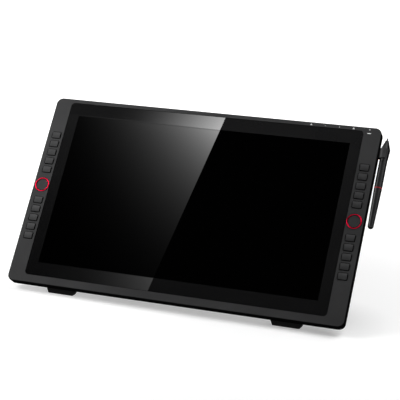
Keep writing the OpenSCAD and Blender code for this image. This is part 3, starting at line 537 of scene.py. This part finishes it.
# %% Inside the case
DOT_PITCH, TRACK_PITCH = 2.0, 12.0
STRIPE_DARK, STRIPE_LIGHT = (0.004, 0.004, 0.005), (0.008, 0.009, 0.010)
DOT_WHITE, GUIDE_WHITE = (0.9, 0.92, 0.93), (0.78, 0.81, 0.83)
LAMINATE = {"Color1": (0.01, 0.075, 0.03), "Color2": (0.012, 0.085, 0.035), "Mortar": (0.03, 0.14, 0.05)}
panel_finish = Finish("panel_glass").set(Roughness=0.15)
pixels = panel_finish.waves("BANDS", STRIPE_PITCH, panel_finish.coordinates)
panel_finish.paint(panel_finish.colours(pixels, (0.0, STRIPE_DARK), (1.0, STRIPE_LIGHT)))
guide_finish = Finish("light_guide").set(IOR=1.49)
dots = guide_finish.node("ShaderNodeTexVoronoi", Scale=PER_METRE / DOT_PITCH)
guide_finish.link(guide_finish.coordinates, dots.inputs["Vector"])
guide_finish.paint(guide_finish.colours(dots.outputs["Distance"], (0.2, DOT_WHITE), (0.35, GUIDE_WHITE)))
guide_finish.rough(guide_finish.between(dots.outputs["Distance"], low=0.35, high=0.12))
board_finish = Finish("green_laminate").set(Roughness=0.35)
tracks = board_finish.node("ShaderNodeTexBrick", Scale=PER_METRE / TRACK_PITCH, Mortar_Size=0.04)
board_finish.link(board_finish.turned(), tracks.inputs["Vector"])
for key, colour in LAMINATE.items():
    tracks.inputs[key].default_value = (*colour, 1)
board_finish.paint(tracks.outputs["Color"])
board_finish.relief(tracks.outputs["Fac"], depth=0.03)
tape_finish = rubber("foam_tape", (0.008, 0.008, 0.008))
dress(panel_finish, "lcd_panel")
dress(guide_finish, "light_guide")
dress(board_finish, "digitizer_board", "main_board", "key_boards", "edge_boards")
dress(tape_finish, "glass_tape")
print("inner layers finished")

# %% [markdown]
# ## Light bar
# A small white light shows that the tablet is on. The diffuser is brightest in its middle, above
# the lamp, and falls off towards its ends.

# %% Light bar
POWER_U, LIGHT_V = 265.4, 153.6
FULL_UNTIL, FADED_AT = 0.8, 3.4
LIGHT_WHITE, LIGHT_GREY = (1, 1, 1), (0.6, 0.62, 0.66)
light_finish = Finish("light_bar_diffuser").set(Roughness=0.35, Emission_Strength=0.36)
along_bar = light_finish.split(light_finish.turned((POWER_U, LIGHT_V, 0)))["X"]
off_middle = light_finish.math("ABSOLUTE", along_bar)
fade = light_finish.between(off_middle, 0.0, 1.0, FULL_UNTIL * MM, FADED_AT * MM)
bar_light = light_finish.colours(fade, (0.0, LIGHT_WHITE), (1.0, LIGHT_GREY))
light_finish.paint(bar_light)
light_finish.link(bar_light, light_finish.shader.inputs["Emission Color"])
dress(light_finish, "power_light")
print("light bar glows,", len(dressed), "solids dressed")

# %% [markdown]
# ## Printed marks
# Small white marks on the top edge of the frame say what the buttons behind them do. They are thin
# prints, so each is a flat outline raised by a few hundredths of a millimetre: two arrow heads, a
# dash, an upright and a ring for the power button.


# %% Printed marks
def mesh_piece(name, data, finish, body):
    """Makes an object of a mesh already in place, and lets it ride on a body."""
    data.materials.clear()
    data.materials.append(finish.material)
    piece = bpy.data.objects.new(name, data)
    scene.collection.objects.link(piece)
    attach(piece, body)
    return piece


def raise_outline(shape, points, low, high):
    """Adds a flat outline, given anticlockwise in u and v, as a thin solid between two heights."""
    under = [shape.verts.new(at(u, v, low)) for u, v in points]
    top = [shape.verts.new(at(u, v, high)) for u, v in points]
    count = len(points)
    shape.faces.new(top)
    shape.faces.new(under[::-1])
    for i in range(count):
        j = (i + 1) % count
        shape.faces.new((under[i], under[j], top[j], top[i]))


def raise_ring(shape, u, v, inner, outer, low, high, steps=32):
    """Adds a flat ring as a thin solid."""
    rows = []
    for radius, height in ((inner, low), (outer, low), (outer, high), (inner, high)):
        rows.append([shape.verts.new(at(u + radius * math.cos(a), v + radius * math.sin(a), height))
                     for a in (2 * math.pi * i / steps for i in range(steps))])
    for k in range(4):
        one, two = rows[k], rows[(k + 1) % 4]
        for i in range(steps):
            j = (i + 1) % steps
            shape.faces.new((one[i], one[j], two[j], two[i]))


def box_outline(u, v, half_u, half_v):
    """A rectangle round a place."""
    corners = ((-1, -1), (1, -1), (1, 1), (-1, 1))
    return [(u + half_u * across, v + half_v * along) for across, along in corners]


def arrow_outline(u, v):
    """An arrow head that points up the screen."""
    return [(u - ARROW_HALF, v - ARROW_FOOT), (u + ARROW_HALF, v - ARROW_FOOT), (u, v + ARROW_TIP)]


PRINT = 0.03
MARK_V = 160.0
LAST_MENU, MENU_PITCH = 239.1, 23.5
MENU = [LAST_MENU - MENU_PITCH * i for i in (3, 2, 1, 0)]
ARROW_HALF, ARROW_FOOT, ARROW_TIP = 2.1, 1.5, 1.8
DASH_HALF, UPRIGHT_HALF = (1.1, 0.18), (0.34, 1.3)
RING_INNER, RING_OUTER = 0.6, 1.2
marks = bmesh.new()
for u in (MENU[0], MENU[3]):
    raise_outline(marks, arrow_outline(u, MARK_V), 0, PRINT)
raise_outline(marks, box_outline(MENU[1], MARK_V, *DASH_HALF), 0, PRINT)
raise_outline(marks, box_outline(MENU[2], MARK_V, *UPRIGHT_HALF), 0, PRINT)
raise_ring(marks, POWER_U, MARK_V, RING_INNER, RING_OUTER, 0, PRINT)
bmesh.ops.recalc_face_normals(marks, faces=marks.faces)
marks_mesh = bpy.data.meshes.new("button_marks")
marks.to_mesh(marks_mesh)
marks.free()
ink_finish = moulded("white_ink", (0.86, 0.86, 0.87), roughness=0.5, pit=0.12, depth=0.004, cloud=1.2)
mesh_piece("button_marks", marks_mesh, ink_finish, "display")
print("marks:", len(marks_mesh.polygons), "faces")

# %% [markdown]
# ## Rows of bars with Geometry Nodes
# Ribs, wires and contacts are the same small bar again and again. Modelling each would be slow and
# hard to change, so a node tree lays points in a line, puts a bar on each and joins them. Its inputs
# are the count and the sizes. A second tree lays round ribs on an arc. The evaluated result is
# copied to a plain mesh.

# %% Bars in a row
RIB_SIDES = 10


def node_tree(name, inputs):
    """Starts a Geometry Nodes tree with named inputs; gives the tree and its two end nodes."""
    tree = bpy.data.node_groups.new(name, "GeometryNodeTree")
    for label, kind in inputs:
        tree.interface.new_socket(label, in_out="INPUT", socket_type="NodeSocket" + kind)
    tree.interface.new_socket("Geometry", in_out="OUTPUT", socket_type="NodeSocketGeometry")
    return tree, tree.nodes.new("NodeGroupInput").outputs, tree.nodes.new("NodeGroupOutput").inputs


def end_tree(tree, geometry, finish, result):
    """Every tree ends alike: instances become real faces and get their finish."""
    realize = tree.nodes.new("GeometryNodeRealizeInstances")
    coat = tree.nodes.new("GeometryNodeSetMaterial")
    tree.links.new(geometry, realize.inputs["Geometry"])
    tree.links.new(realize.outputs["Geometry"], coat.inputs["Geometry"])
    tree.links.new(finish, coat.inputs["Material"])
    tree.links.new(coat.outputs["Geometry"], result["Geometry"])


def bar_row_tree():
    """Bars on points along a straight line."""
    tree, given, result = node_tree("bar_row", (
        ("Count", "Int"), ("First", "Vector"), ("Step", "Vector"), ("Size", "Vector"), ("Turn", "Vector"),
        ("Finish", "Material")))
    line = tree.nodes.new("GeometryNodeMeshLine")
    bar = tree.nodes.new("GeometryNodeMeshCube")
    laid = tree.nodes.new("GeometryNodeInstanceOnPoints")
    turn = tree.nodes.new("FunctionNodeEulerToRotation")
    for source, target in (
            (given["Count"], line.inputs["Count"]), (given["First"], line.inputs["Start Location"]),
            (given["Step"], line.inputs["Offset"]), (given["Size"], bar.inputs["Size"]),
            (line.outputs["Mesh"], laid.inputs["Points"]), (bar.outputs["Mesh"], laid.inputs["Instance"]),
            (given["Turn"], turn.inputs["Euler"]), (turn.outputs["Rotation"], laid.inputs["Rotation"])):
        tree.links.new(source, target)
    end_tree(tree, laid.outputs["Instances"], given["Finish"], result)
    return tree


def rib_arc_tree():
    """Round ribs along X, set out on an arc round an axis along X."""
    tree, given, result = node_tree("rib_arc", (
        ("Count", "Int"), ("Radius", "Float"), ("From", "Float"), ("Sweep", "Float"), ("Rib", "Float"),
        ("Length", "Float"), ("Middle", "Vector"), ("Finish", "Material")))
    arc = tree.nodes.new("GeometryNodeCurveArc")
    points = tree.nodes.new("GeometryNodeCurveToPoints")
    rib = tree.nodes.new("GeometryNodeMeshCylinder")
    rib.inputs["Vertices"].default_value = RIB_SIDES
    laid = tree.nodes.new("GeometryNodeInstanceOnPoints")
    place = tree.nodes.new("GeometryNodeTransform")
    place.inputs["Rotation"].default_value = (math.pi / 2, 0, math.pi / 2)
    for source, target in (
            (given["Count"], arc.inputs["Resolution"]), (given["Radius"], arc.inputs["Radius"]),
            (given["From"], arc.inputs["Start Angle"]), (given["Sweep"], arc.inputs["Sweep Angle"]),
            (arc.outputs["Curve"], points.inputs["Curve"]), (given["Count"], points.inputs["Count"]),
            (given["Rib"], rib.inputs["Radius"]), (given["Length"], rib.inputs["Depth"]),
            (points.outputs["Points"], laid.inputs["Points"]), (rib.outputs["Mesh"], laid.inputs["Instance"]),
            (laid.outputs["Instances"], place.inputs["Geometry"]),
            (given["Middle"], place.inputs["Translation"])):
        tree.links.new(source, target)
    end_tree(tree, place.outputs["Geometry"], given["Finish"], result)
    return tree


BAR_ROW, RIB_ARC = bar_row_tree(), rib_arc_tree()


def grown(name, tree, **inputs):
    """Runs a tree once with these inputs and gives back a plain mesh."""
    carrier = bpy.data.objects.new(name, bpy.data.meshes.new(name))
    scene.collection.objects.link(carrier)
    modifier = carrier.modifiers.new(name, "NODES")
    modifier.node_group = tree
    for socket in tree.interface.items_tree:
        if socket.in_out == "INPUT":
            modifier[socket.identifier] = inputs[socket.name]
    shape = carrier.evaluated_get(bpy.context.evaluated_depsgraph_get())
    plain = bpy.data.meshes.new_from_object(shape)
    bpy.data.objects.remove(carrier)
    return plain


def bar_row(name, finish, count, first, last, size):
    """Bars from one place on the tablet to another; sizes in millimetres along u, v and n."""
    step = (at(*last) - at(*first)) / max(1, count - 1)
    return grown(name, BAR_ROW, Count=count, First=at(*first), Step=step, Size=[c * MM for c in size],
                 Turn=(TILT, 0.0, 0.0), Finish=finish.material)


def joined(name, meshes):
    """Puts several meshes into one."""
    shape = bmesh.new()
    for data in meshes:
        shape.from_mesh(data)
    whole = bpy.data.meshes.new(name)
    shape.to_mesh(whole)
    shape.free()
    return whole


print("two node trees:", BAR_ROW.name, "and", RIB_ARC.name)

# %% [markdown]
# ## Ribs on the lever and the pad
# The lever's paddle has ribs for the fingers, and the leg's rubber pad has ribs that give as it sits
# down. The pad's ribs lie on two arcs, before and behind the flat that it stands on.

# %% Ribs
LEVER_RIBS, LEVER_RIB_SIZE = 6, (52, 1.1, 0.9)
LEVER_FIRST, LEVER_LAST = (0, 103, -34.85), (0, 115.5, -34.85)
PAD_R, PAD_FLAT = 7.5, 0.8
PAD_RIBS, PAD_RIB_R, PAD_RIB_LENGTH = 6, 0.5, 184
PAD_RIB_SUNK = 0.1
PAD_ARCS = ((22, 60), (160, 62))
lever_ribs = bar_row("lever_ribs", lever_finish, LEVER_RIBS, LEVER_FIRST, LEVER_LAST, LEVER_RIB_SIZE)
mesh_piece("lever_ribs", lever_ribs, lever_finish, "release_lever")
pad_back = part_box("leg_pad")[1][1]
pad_middle = Vector((0, pad_back - PAD_R * MM, (PAD_R - PAD_FLAT) * MM))
pad_ribs = joined("pad_ribs", [
    grown("pad_ribs", RIB_ARC, Count=PAD_RIBS, Radius=(PAD_R - PAD_RIB_SUNK) * MM, From=math.radians(start),
          Sweep=math.radians(sweep), Rib=PAD_RIB_R * MM, Length=PAD_RIB_LENGTH * MM, Middle=pad_middle,
          Finish=rubber_finish.material)
    for start, sweep in PAD_ARCS])
mesh_piece("pad_ribs", pad_ribs, rubber_finish, "leg")
print("ribs:", len(lever_ribs.polygons) + len(pad_ribs.polygons), "faces")

# %% [markdown]
# ## Vent mesh and contacts
# A wire mesh behind the vents keeps dust out: one row of upright wires and one of level ones. Each
# socket's tongue has twelve contacts a side.

# %% Vent mesh and contacts
VENT_V, VENT_HALF_U, VENT_HALF_V, MESH_N = 130.4, 89.0, 6.6, -17.6
UPRIGHT_WIRES, UPRIGHT_SIZE = 119, (0.4, 14.4, 0.3)
LEVEL_WIRES, LEVEL_SIZE = 9, (182, 0.4, 0.3)
TONGUE_V, TONGUE_N, TONGUE_HALF = 160.6, -5.97, 0.36
SOCKETS_U = (-175.5, -153.5)
CONTACTS, CONTACT_REACH, CONTACT_SIZE = 12, 2.75, (0.25, 3.2, 0.04)
wire_finish = brushed("blackened_wire", (0.05, 0.05, 0.052), roughness=0.45, stretch=(1.0, 1.0, 0.2))
vent_left, vent_right = (-VENT_HALF_U, VENT_V, MESH_N), (VENT_HALF_U, VENT_V, MESH_N)
vent_low, vent_high = (0, VENT_V - VENT_HALF_V, MESH_N), (0, VENT_V + VENT_HALF_V, MESH_N)
uprights = bar_row("wires", wire_finish, UPRIGHT_WIRES, vent_left, vent_right, UPRIGHT_SIZE)
levels = bar_row("wires", wire_finish, LEVEL_WIRES, vent_low, vent_high, LEVEL_SIZE)
vent_mesh = joined("vent_mesh", [uprights, levels])
mesh_piece("vent_mesh", vent_mesh, wire_finish, "display")


def contact_row(u, n):
    """The contacts on one side of a socket's tongue."""
    first, last = (u - CONTACT_REACH, TONGUE_V, n), (u + CONTACT_REACH, TONGUE_V, n)
    return bar_row("contacts", brass_finish, CONTACTS, first, last, CONTACT_SIZE)


contacts = joined("socket_contacts", [
    contact_row(u, TONGUE_N + side) for u in SOCKETS_U for side in (-TONGUE_HALF, TONGUE_HALF)])
mesh_piece("socket_contacts", contacts, brass_finish, "display")
print("vent mesh:", len(vent_mesh.polygons), "faces, contacts:", len(contacts.polygons), "faces")

# %% [markdown]
# ## Studio floor
# The floor is plain white and keeps the tablet's soft shadow: part of its brightness is its own and
# part is light that falls on it. Its own glow grows away from the tablet, and is made stronger towards
# the left, painted light. Beside the tablet's right corner it is weaker, a painted shadow.

# %% Floor
FLOOR_HALF = 30
FLOOR_WHITE, FLOOR_WHITER = (0.80, 0.80, 0.80), (0.82, 0.82, 0.82)
NEAR, FAR, GLOW_NEAR, GLOW_FAR = 0.5, 2.0, 0.32, 0.96
LEAN_LEFT, LEAN_RIGHT, MOST_LEAN = -0.3, 0.06, 1.55
RIGHT_CORNER, CORNER_REACH, CORNER_GLOW = (0.262, 0.05, 0), 0.085, 0.42
floor_mesh = bpy.data.meshes.new("floor")
sheet = bmesh.new()
bmesh.ops.create_grid(sheet, x_segments=1, y_segments=1, size=FLOOR_HALF)
sheet.to_mesh(floor_mesh)
sheet.free()
floor = bpy.data.objects.new("floor", floor_mesh)
scene.collection.objects.link(floor)
floor_finish = Finish("white_floor").set(Roughness=0.9, Specular_IOR_Level=0.0, Emission_Color=(1, 1, 1, 1))
patches = floor_finish.noise(size=400.0)
floor_finish.paint(floor_finish.colours(patches, (0.0, FLOOR_WHITE), (1.0, FLOOR_WHITER)))
path = floor_finish.node("ShaderNodeLightPath").outputs
mirrored = floor_finish.math("MAXIMUM", path["Is Glossy Ray"], path["Is Transmission Ray"])
seen = floor_finish.math("MAXIMUM", path["Is Camera Ray"], mirrored)
way_out = floor_finish.node("ShaderNodeVectorMath", operation="LENGTH")
floor_finish.link(floor_finish.coordinates, way_out.inputs[0])
own_glow = floor_finish.between(way_out.outputs["Value"], GLOW_NEAR, GLOW_FAR, NEAR, FAR)
floor_x = floor_finish.split(floor_finish.coordinates)["X"]
# Painted light: the floor's own glow is made stronger towards the left.
painted_left_light = floor_finish.between(floor_x, MOST_LEAN, 1.0, LEAN_LEFT, LEAN_RIGHT)
# Painted shadow: the floor's own glow is dimmed beside the tablet's right corner.
from_corner = floor_finish.node("ShaderNodeVectorMath", operation="DISTANCE")
floor_finish.link(floor_finish.coordinates, from_corner.inputs[0])
from_corner.inputs[1].default_value = RIGHT_CORNER
painted_corner_shadow = floor_finish.between(from_corner.outputs["Value"], CORNER_GLOW, 1.0, 0.0, CORNER_REACH)
floor_glow = floor_finish.math("MULTIPLY", floor_finish.math("MULTIPLY", own_glow, painted_left_light), painted_corner_shadow)
seen_glow = floor_finish.math("MULTIPLY", seen, floor_glow)
floor_finish.link(seen_glow, floor_finish.shader.inputs["Emission Strength"])
floor_mesh.materials.append(floor_finish.material)
print("floor laid")

# %% [markdown]
# ## Studio walls
# The camera sees plain white all round. Shiny pieces see the same white towards the horizon and a
# dark ceiling above, so the black glass stays black where no lamp is reflected. Everything else gets
# a weak and even fill.

# %% World
FILL, WHITE_UP_TO, DARK_FROM, CEILING_GREY = 0.10, 0.15, 0.55, 0.005
world = bpy.data.worlds.new("studio")
scene.world = world
world.use_nodes = True
sky = world.node_tree
sky.nodes.clear()


def background(strength):
    """A white background of some strength."""
    made = sky.nodes.new("ShaderNodeBackground")
    made.inputs["Color"].default_value = (1, 1, 1, 1)
    made.inputs["Strength"].default_value = strength
    return made


fill = background(FILL)
white = background(1.0)
ceiling = background(1.0)
direction = sky.nodes.new("ShaderNodeSeparateXYZ")
sky.links.new(sky.nodes.new("ShaderNodeTexCoord").outputs["Generated"], direction.inputs["Vector"])
dome = sky.nodes.new("ShaderNodeValToRGB")
dome.color_ramp.elements[0].position = WHITE_UP_TO
dome.color_ramp.elements[0].color = (1, 1, 1, 1)
dome.color_ramp.elements[1].position = DARK_FROM
dome.color_ramp.elements[1].color = (CEILING_GREY, CEILING_GREY, CEILING_GREY, 1)
sky.links.new(direction.outputs["Z"], dome.inputs["Fac"])
sky.links.new(dome.outputs["Color"], ceiling.inputs["Color"])
sight = sky.nodes.new("ShaderNodeLightPath")
glossy = sky.nodes.new("ShaderNodeMixShader")
sky.links.new(sight.outputs["Is Glossy Ray"], glossy.inputs["Fac"])
sky.links.new(fill.outputs["Background"], glossy.inputs[1])
sky.links.new(ceiling.outputs["Background"], glossy.inputs[2])
direct = sky.nodes.new("ShaderNodeMath")
direct.operation = "MAXIMUM"
sky.links.new(sight.outputs["Is Camera Ray"], direct.inputs[0])
sky.links.new(sight.outputs["Is Transmission Ray"], direct.inputs[1])
choose = sky.nodes.new("ShaderNodeMixShader")
sky.links.new(direct.outputs["Value"], choose.inputs["Fac"])
sky.links.new(glossy.outputs["Shader"], choose.inputs[1])
sky.links.new(white.outputs["Background"], choose.inputs[2])
sky_out = sky.nodes.new("ShaderNodeOutputWorld")
sky.links.new(choose.outputs["Shader"], sky_out.inputs["Surface"])
print("dome: white at the horizon, dark above")

# %% [markdown]
# ## Lamps
# Three square lamps aim at the tablet: a small one on the left, a large one high on the right that
# does most of the work, and a weak one behind. Large lamps make soft shadows.

# %% Lamps
LAMP_AIM = (0, 0.1, 0.15)


def soft_lamp(name, place, size, power):
    """A square lamp that aims at the tablet."""
    data = bpy.data.lights.new(name, "AREA")
    data.shape = "SQUARE"
    data.size = size
    data.energy = power
    lamp = bpy.data.objects.new(name, data)
    scene.collection.objects.link(lamp)
    lamp.location = place
    lamp.rotation_euler = (Vector(LAMP_AIM) - Vector(place)).to_track_quat("-Z", "Y").to_euler()
    return lamp


soft_lamp("lamp_left", (-1.0, -0.2, 0.8), size=0.6, power=9.2)
soft_lamp("lamp_right", (1.2, 0.8, 1.8), size=1.8, power=38)
soft_lamp("lamp_back", (0.6, 1.6, 1.3), size=1.0, power=5)
print("three soft lamps")

# %% [markdown]
# ## Soft box
# Besides the lamps there is the soft box that the glass reflects. It is a sheet that glows, brightest
# along its straight edge at the top of the picture and fading away from it, as a box lit from one
# side is. Two maps on the sheet say how far a place lies from the top and the edge, and how far below
# the glass's upper and lower border. The sheet's light is shaped there so that both borders show more
# light than the panel beside them, a reflection painted into the box. The camera sees the box in
# reflections only.

# %% Soft box sheet
TOP, BOTTOM, LEFT = 90, 310, -60
BOX_HEIGHT, BOX_WIDTH = BOTTOM - TOP, 300
ROWS, COLUMNS = 22, 12
EDGE_COLUMN, EDGE_SHIFT = 238, 99
BORDER_COLUMN = 150
UPPER_ROW, UPPER_SLOPE = 123.0, 0.109
LOWER_ROW, LOWER_SLOPE = 277.6, 0.139


def edge_of_light(row):
    """Column of the picture at which the wedge's straight edge crosses a row."""
    return EDGE_COLUMN - EDGE_SHIFT * (row - TOP) / BOX_HEIGHT


def below_upper(column, row):
    """How many rows a place lies below the end of the glass's upper border."""
    return row - UPPER_ROW - UPPER_SLOPE * (column - BORDER_COLUMN)


def below_lower(column, row):
    """How many rows a place lies below the start of the glass's lower border."""
    return row - LOWER_ROW - LOWER_SLOPE * (column - BORDER_COLUMN)


box_mesh = bpy.data.meshes.new("soft_box")
sheet = bmesh.new()
box_maps = [sheet.loops.layers.uv.new(name) for name in ("Fall", "Border")]
places = {}
for i in range(ROWS + 1):
    row = TOP + BOX_HEIGHT * i / ROWS
    for j in range(COLUMNS + 1):
        off_edge = (edge_of_light(row) - LEFT) * j / COLUMNS
        column = edge_of_light(row) - off_edge
        spot = sheet.verts.new(bounce(column, row))
        fall = (off_edge / BOX_WIDTH, (row - TOP) / BOX_HEIGHT)
        places[spot] = fall, (below_upper(column, row) / BOX_HEIGHT, below_lower(column, row) / BOX_HEIGHT)
grid = list(places)
for i in range(ROWS):
    for j in range(COLUMNS):
        a, b = i * (COLUMNS + 1) + j, (i + 1) * (COLUMNS + 1) + j
        for loop in sheet.faces.new((grid[a], grid[b], grid[b + 1], grid[a + 1])).loops:
            for layer, place in zip(box_maps, places[loop.vert]):
                loop[layer].uv = place
sheet.to_mesh(box_mesh)
sheet.free()
soft_box = bpy.data.objects.new("soft_box", box_mesh)
scene.collection.objects.link(soft_box)
print("soft box:", ROWS, "x", COLUMNS, "fields")

# %% [markdown]
# The light fades as a power of e, across and down the sheet. Along the upper border it fades across
# only, and faster towards the corner. The lower border has a small share of the light at the top, which
# fades on downwards. Each border begins with a step less than a row of the picture wide, and a thin
# darker seam marks the end of the upper one.

# %% Soft box light
ACROSS_BEND, ACROSS_FALL, DOWN_FALL = -6.7, -7.45, -8.2
CORNER_POWER, CORNER_FALL = 3.0, -52.7
UPPER_RISE, UPPER_SHARE = 1.9, 1.45
LOWER_FALL, LOWER_SHARE = -5.5, 0.032
UPPER_STEP, LOWER_STEP = (-0.9, -0.3), (-0.3, 0.4)
SEAM_STEP, SEAM_TONE = (0.3, 0.9), 0.75
BOX_STRENGTH = 34.0
box_finish = Finish("soft_box_glow")
box_finish.tree.nodes.remove(box_finish.shader)
reckon = box_finish.math
fall_map = box_finish.split(box_finish.node("ShaderNodeUVMap", uv_map="Fall").outputs["UV"])
border_map = box_finish.split(box_finish.node("ShaderNodeUVMap", uv_map="Border").outputs["UV"])
across, down = fall_map["X"], fall_map["Y"]
upper, lower = border_map["X"], border_map["Y"]
bend = reckon("MULTIPLY_ADD", across, ACROSS_BEND, ACROSS_FALL)


def fading(depth):
    """Light that fades across the sheet and with a depth below its top."""
    return reckon("EXPONENT", reckon("MULTIPLY_ADD", across, bend, reckon("MULTIPLY", depth, DOWN_FALL)))


def step(distance, low, high, rows):
    """Goes from one value to another between two rows."""
    return box_finish.between(distance, low, high, rows[0] / BOX_HEIGHT, rows[1] / BOX_HEIGHT)


def chosen(factor, one, other):
    """The first light where the factor is 1, the other where it is 0."""
    return reckon("MULTIPLY_ADD", factor, reckon("SUBTRACT", one, other), other)


corner = reckon("EXPONENT", reckon("MULTIPLY", reckon("POWER", across, CORNER_POWER), CORNER_FALL))
rising = reckon("MULTIPLY_ADD", upper, UPPER_RISE, UPPER_SHARE)
on_upper = reckon("MULTIPLY", fading(reckon("SUBTRACT", down, upper)), reckon("MULTIPLY", corner, rising))
lower_edge = reckon("MULTIPLY", reckon("MULTIPLY", fading(0.0), corner), LOWER_SHARE)
on_lower = reckon("MULTIPLY", lower_edge, reckon("EXPONENT", reckon("MULTIPLY", lower, LOWER_FALL)))
with_upper = chosen(step(upper, 0.0, 1.0, UPPER_STEP), fading(down), on_upper)
with_both = chosen(step(lower, 0.0, 1.0, LOWER_STEP), on_lower, with_upper)
seam = step(reckon("ABSOLUTE", upper), SEAM_TONE, 1.0, SEAM_STEP)
strength = reckon("MULTIPLY", reckon("MULTIPLY", with_both, seam), BOX_STRENGTH)
shine = box_finish.node("ShaderNodeEmission")
box_finish.link(strength, shine.inputs["Strength"])
box_finish.link(shine.outputs["Emission"], box_finish.tree.nodes["Material Output"].inputs["Surface"])
box_mesh.materials.append(box_finish.material)
soft_box.visible_camera = False
print("soft box glows, strength", BOX_STRENGTH)
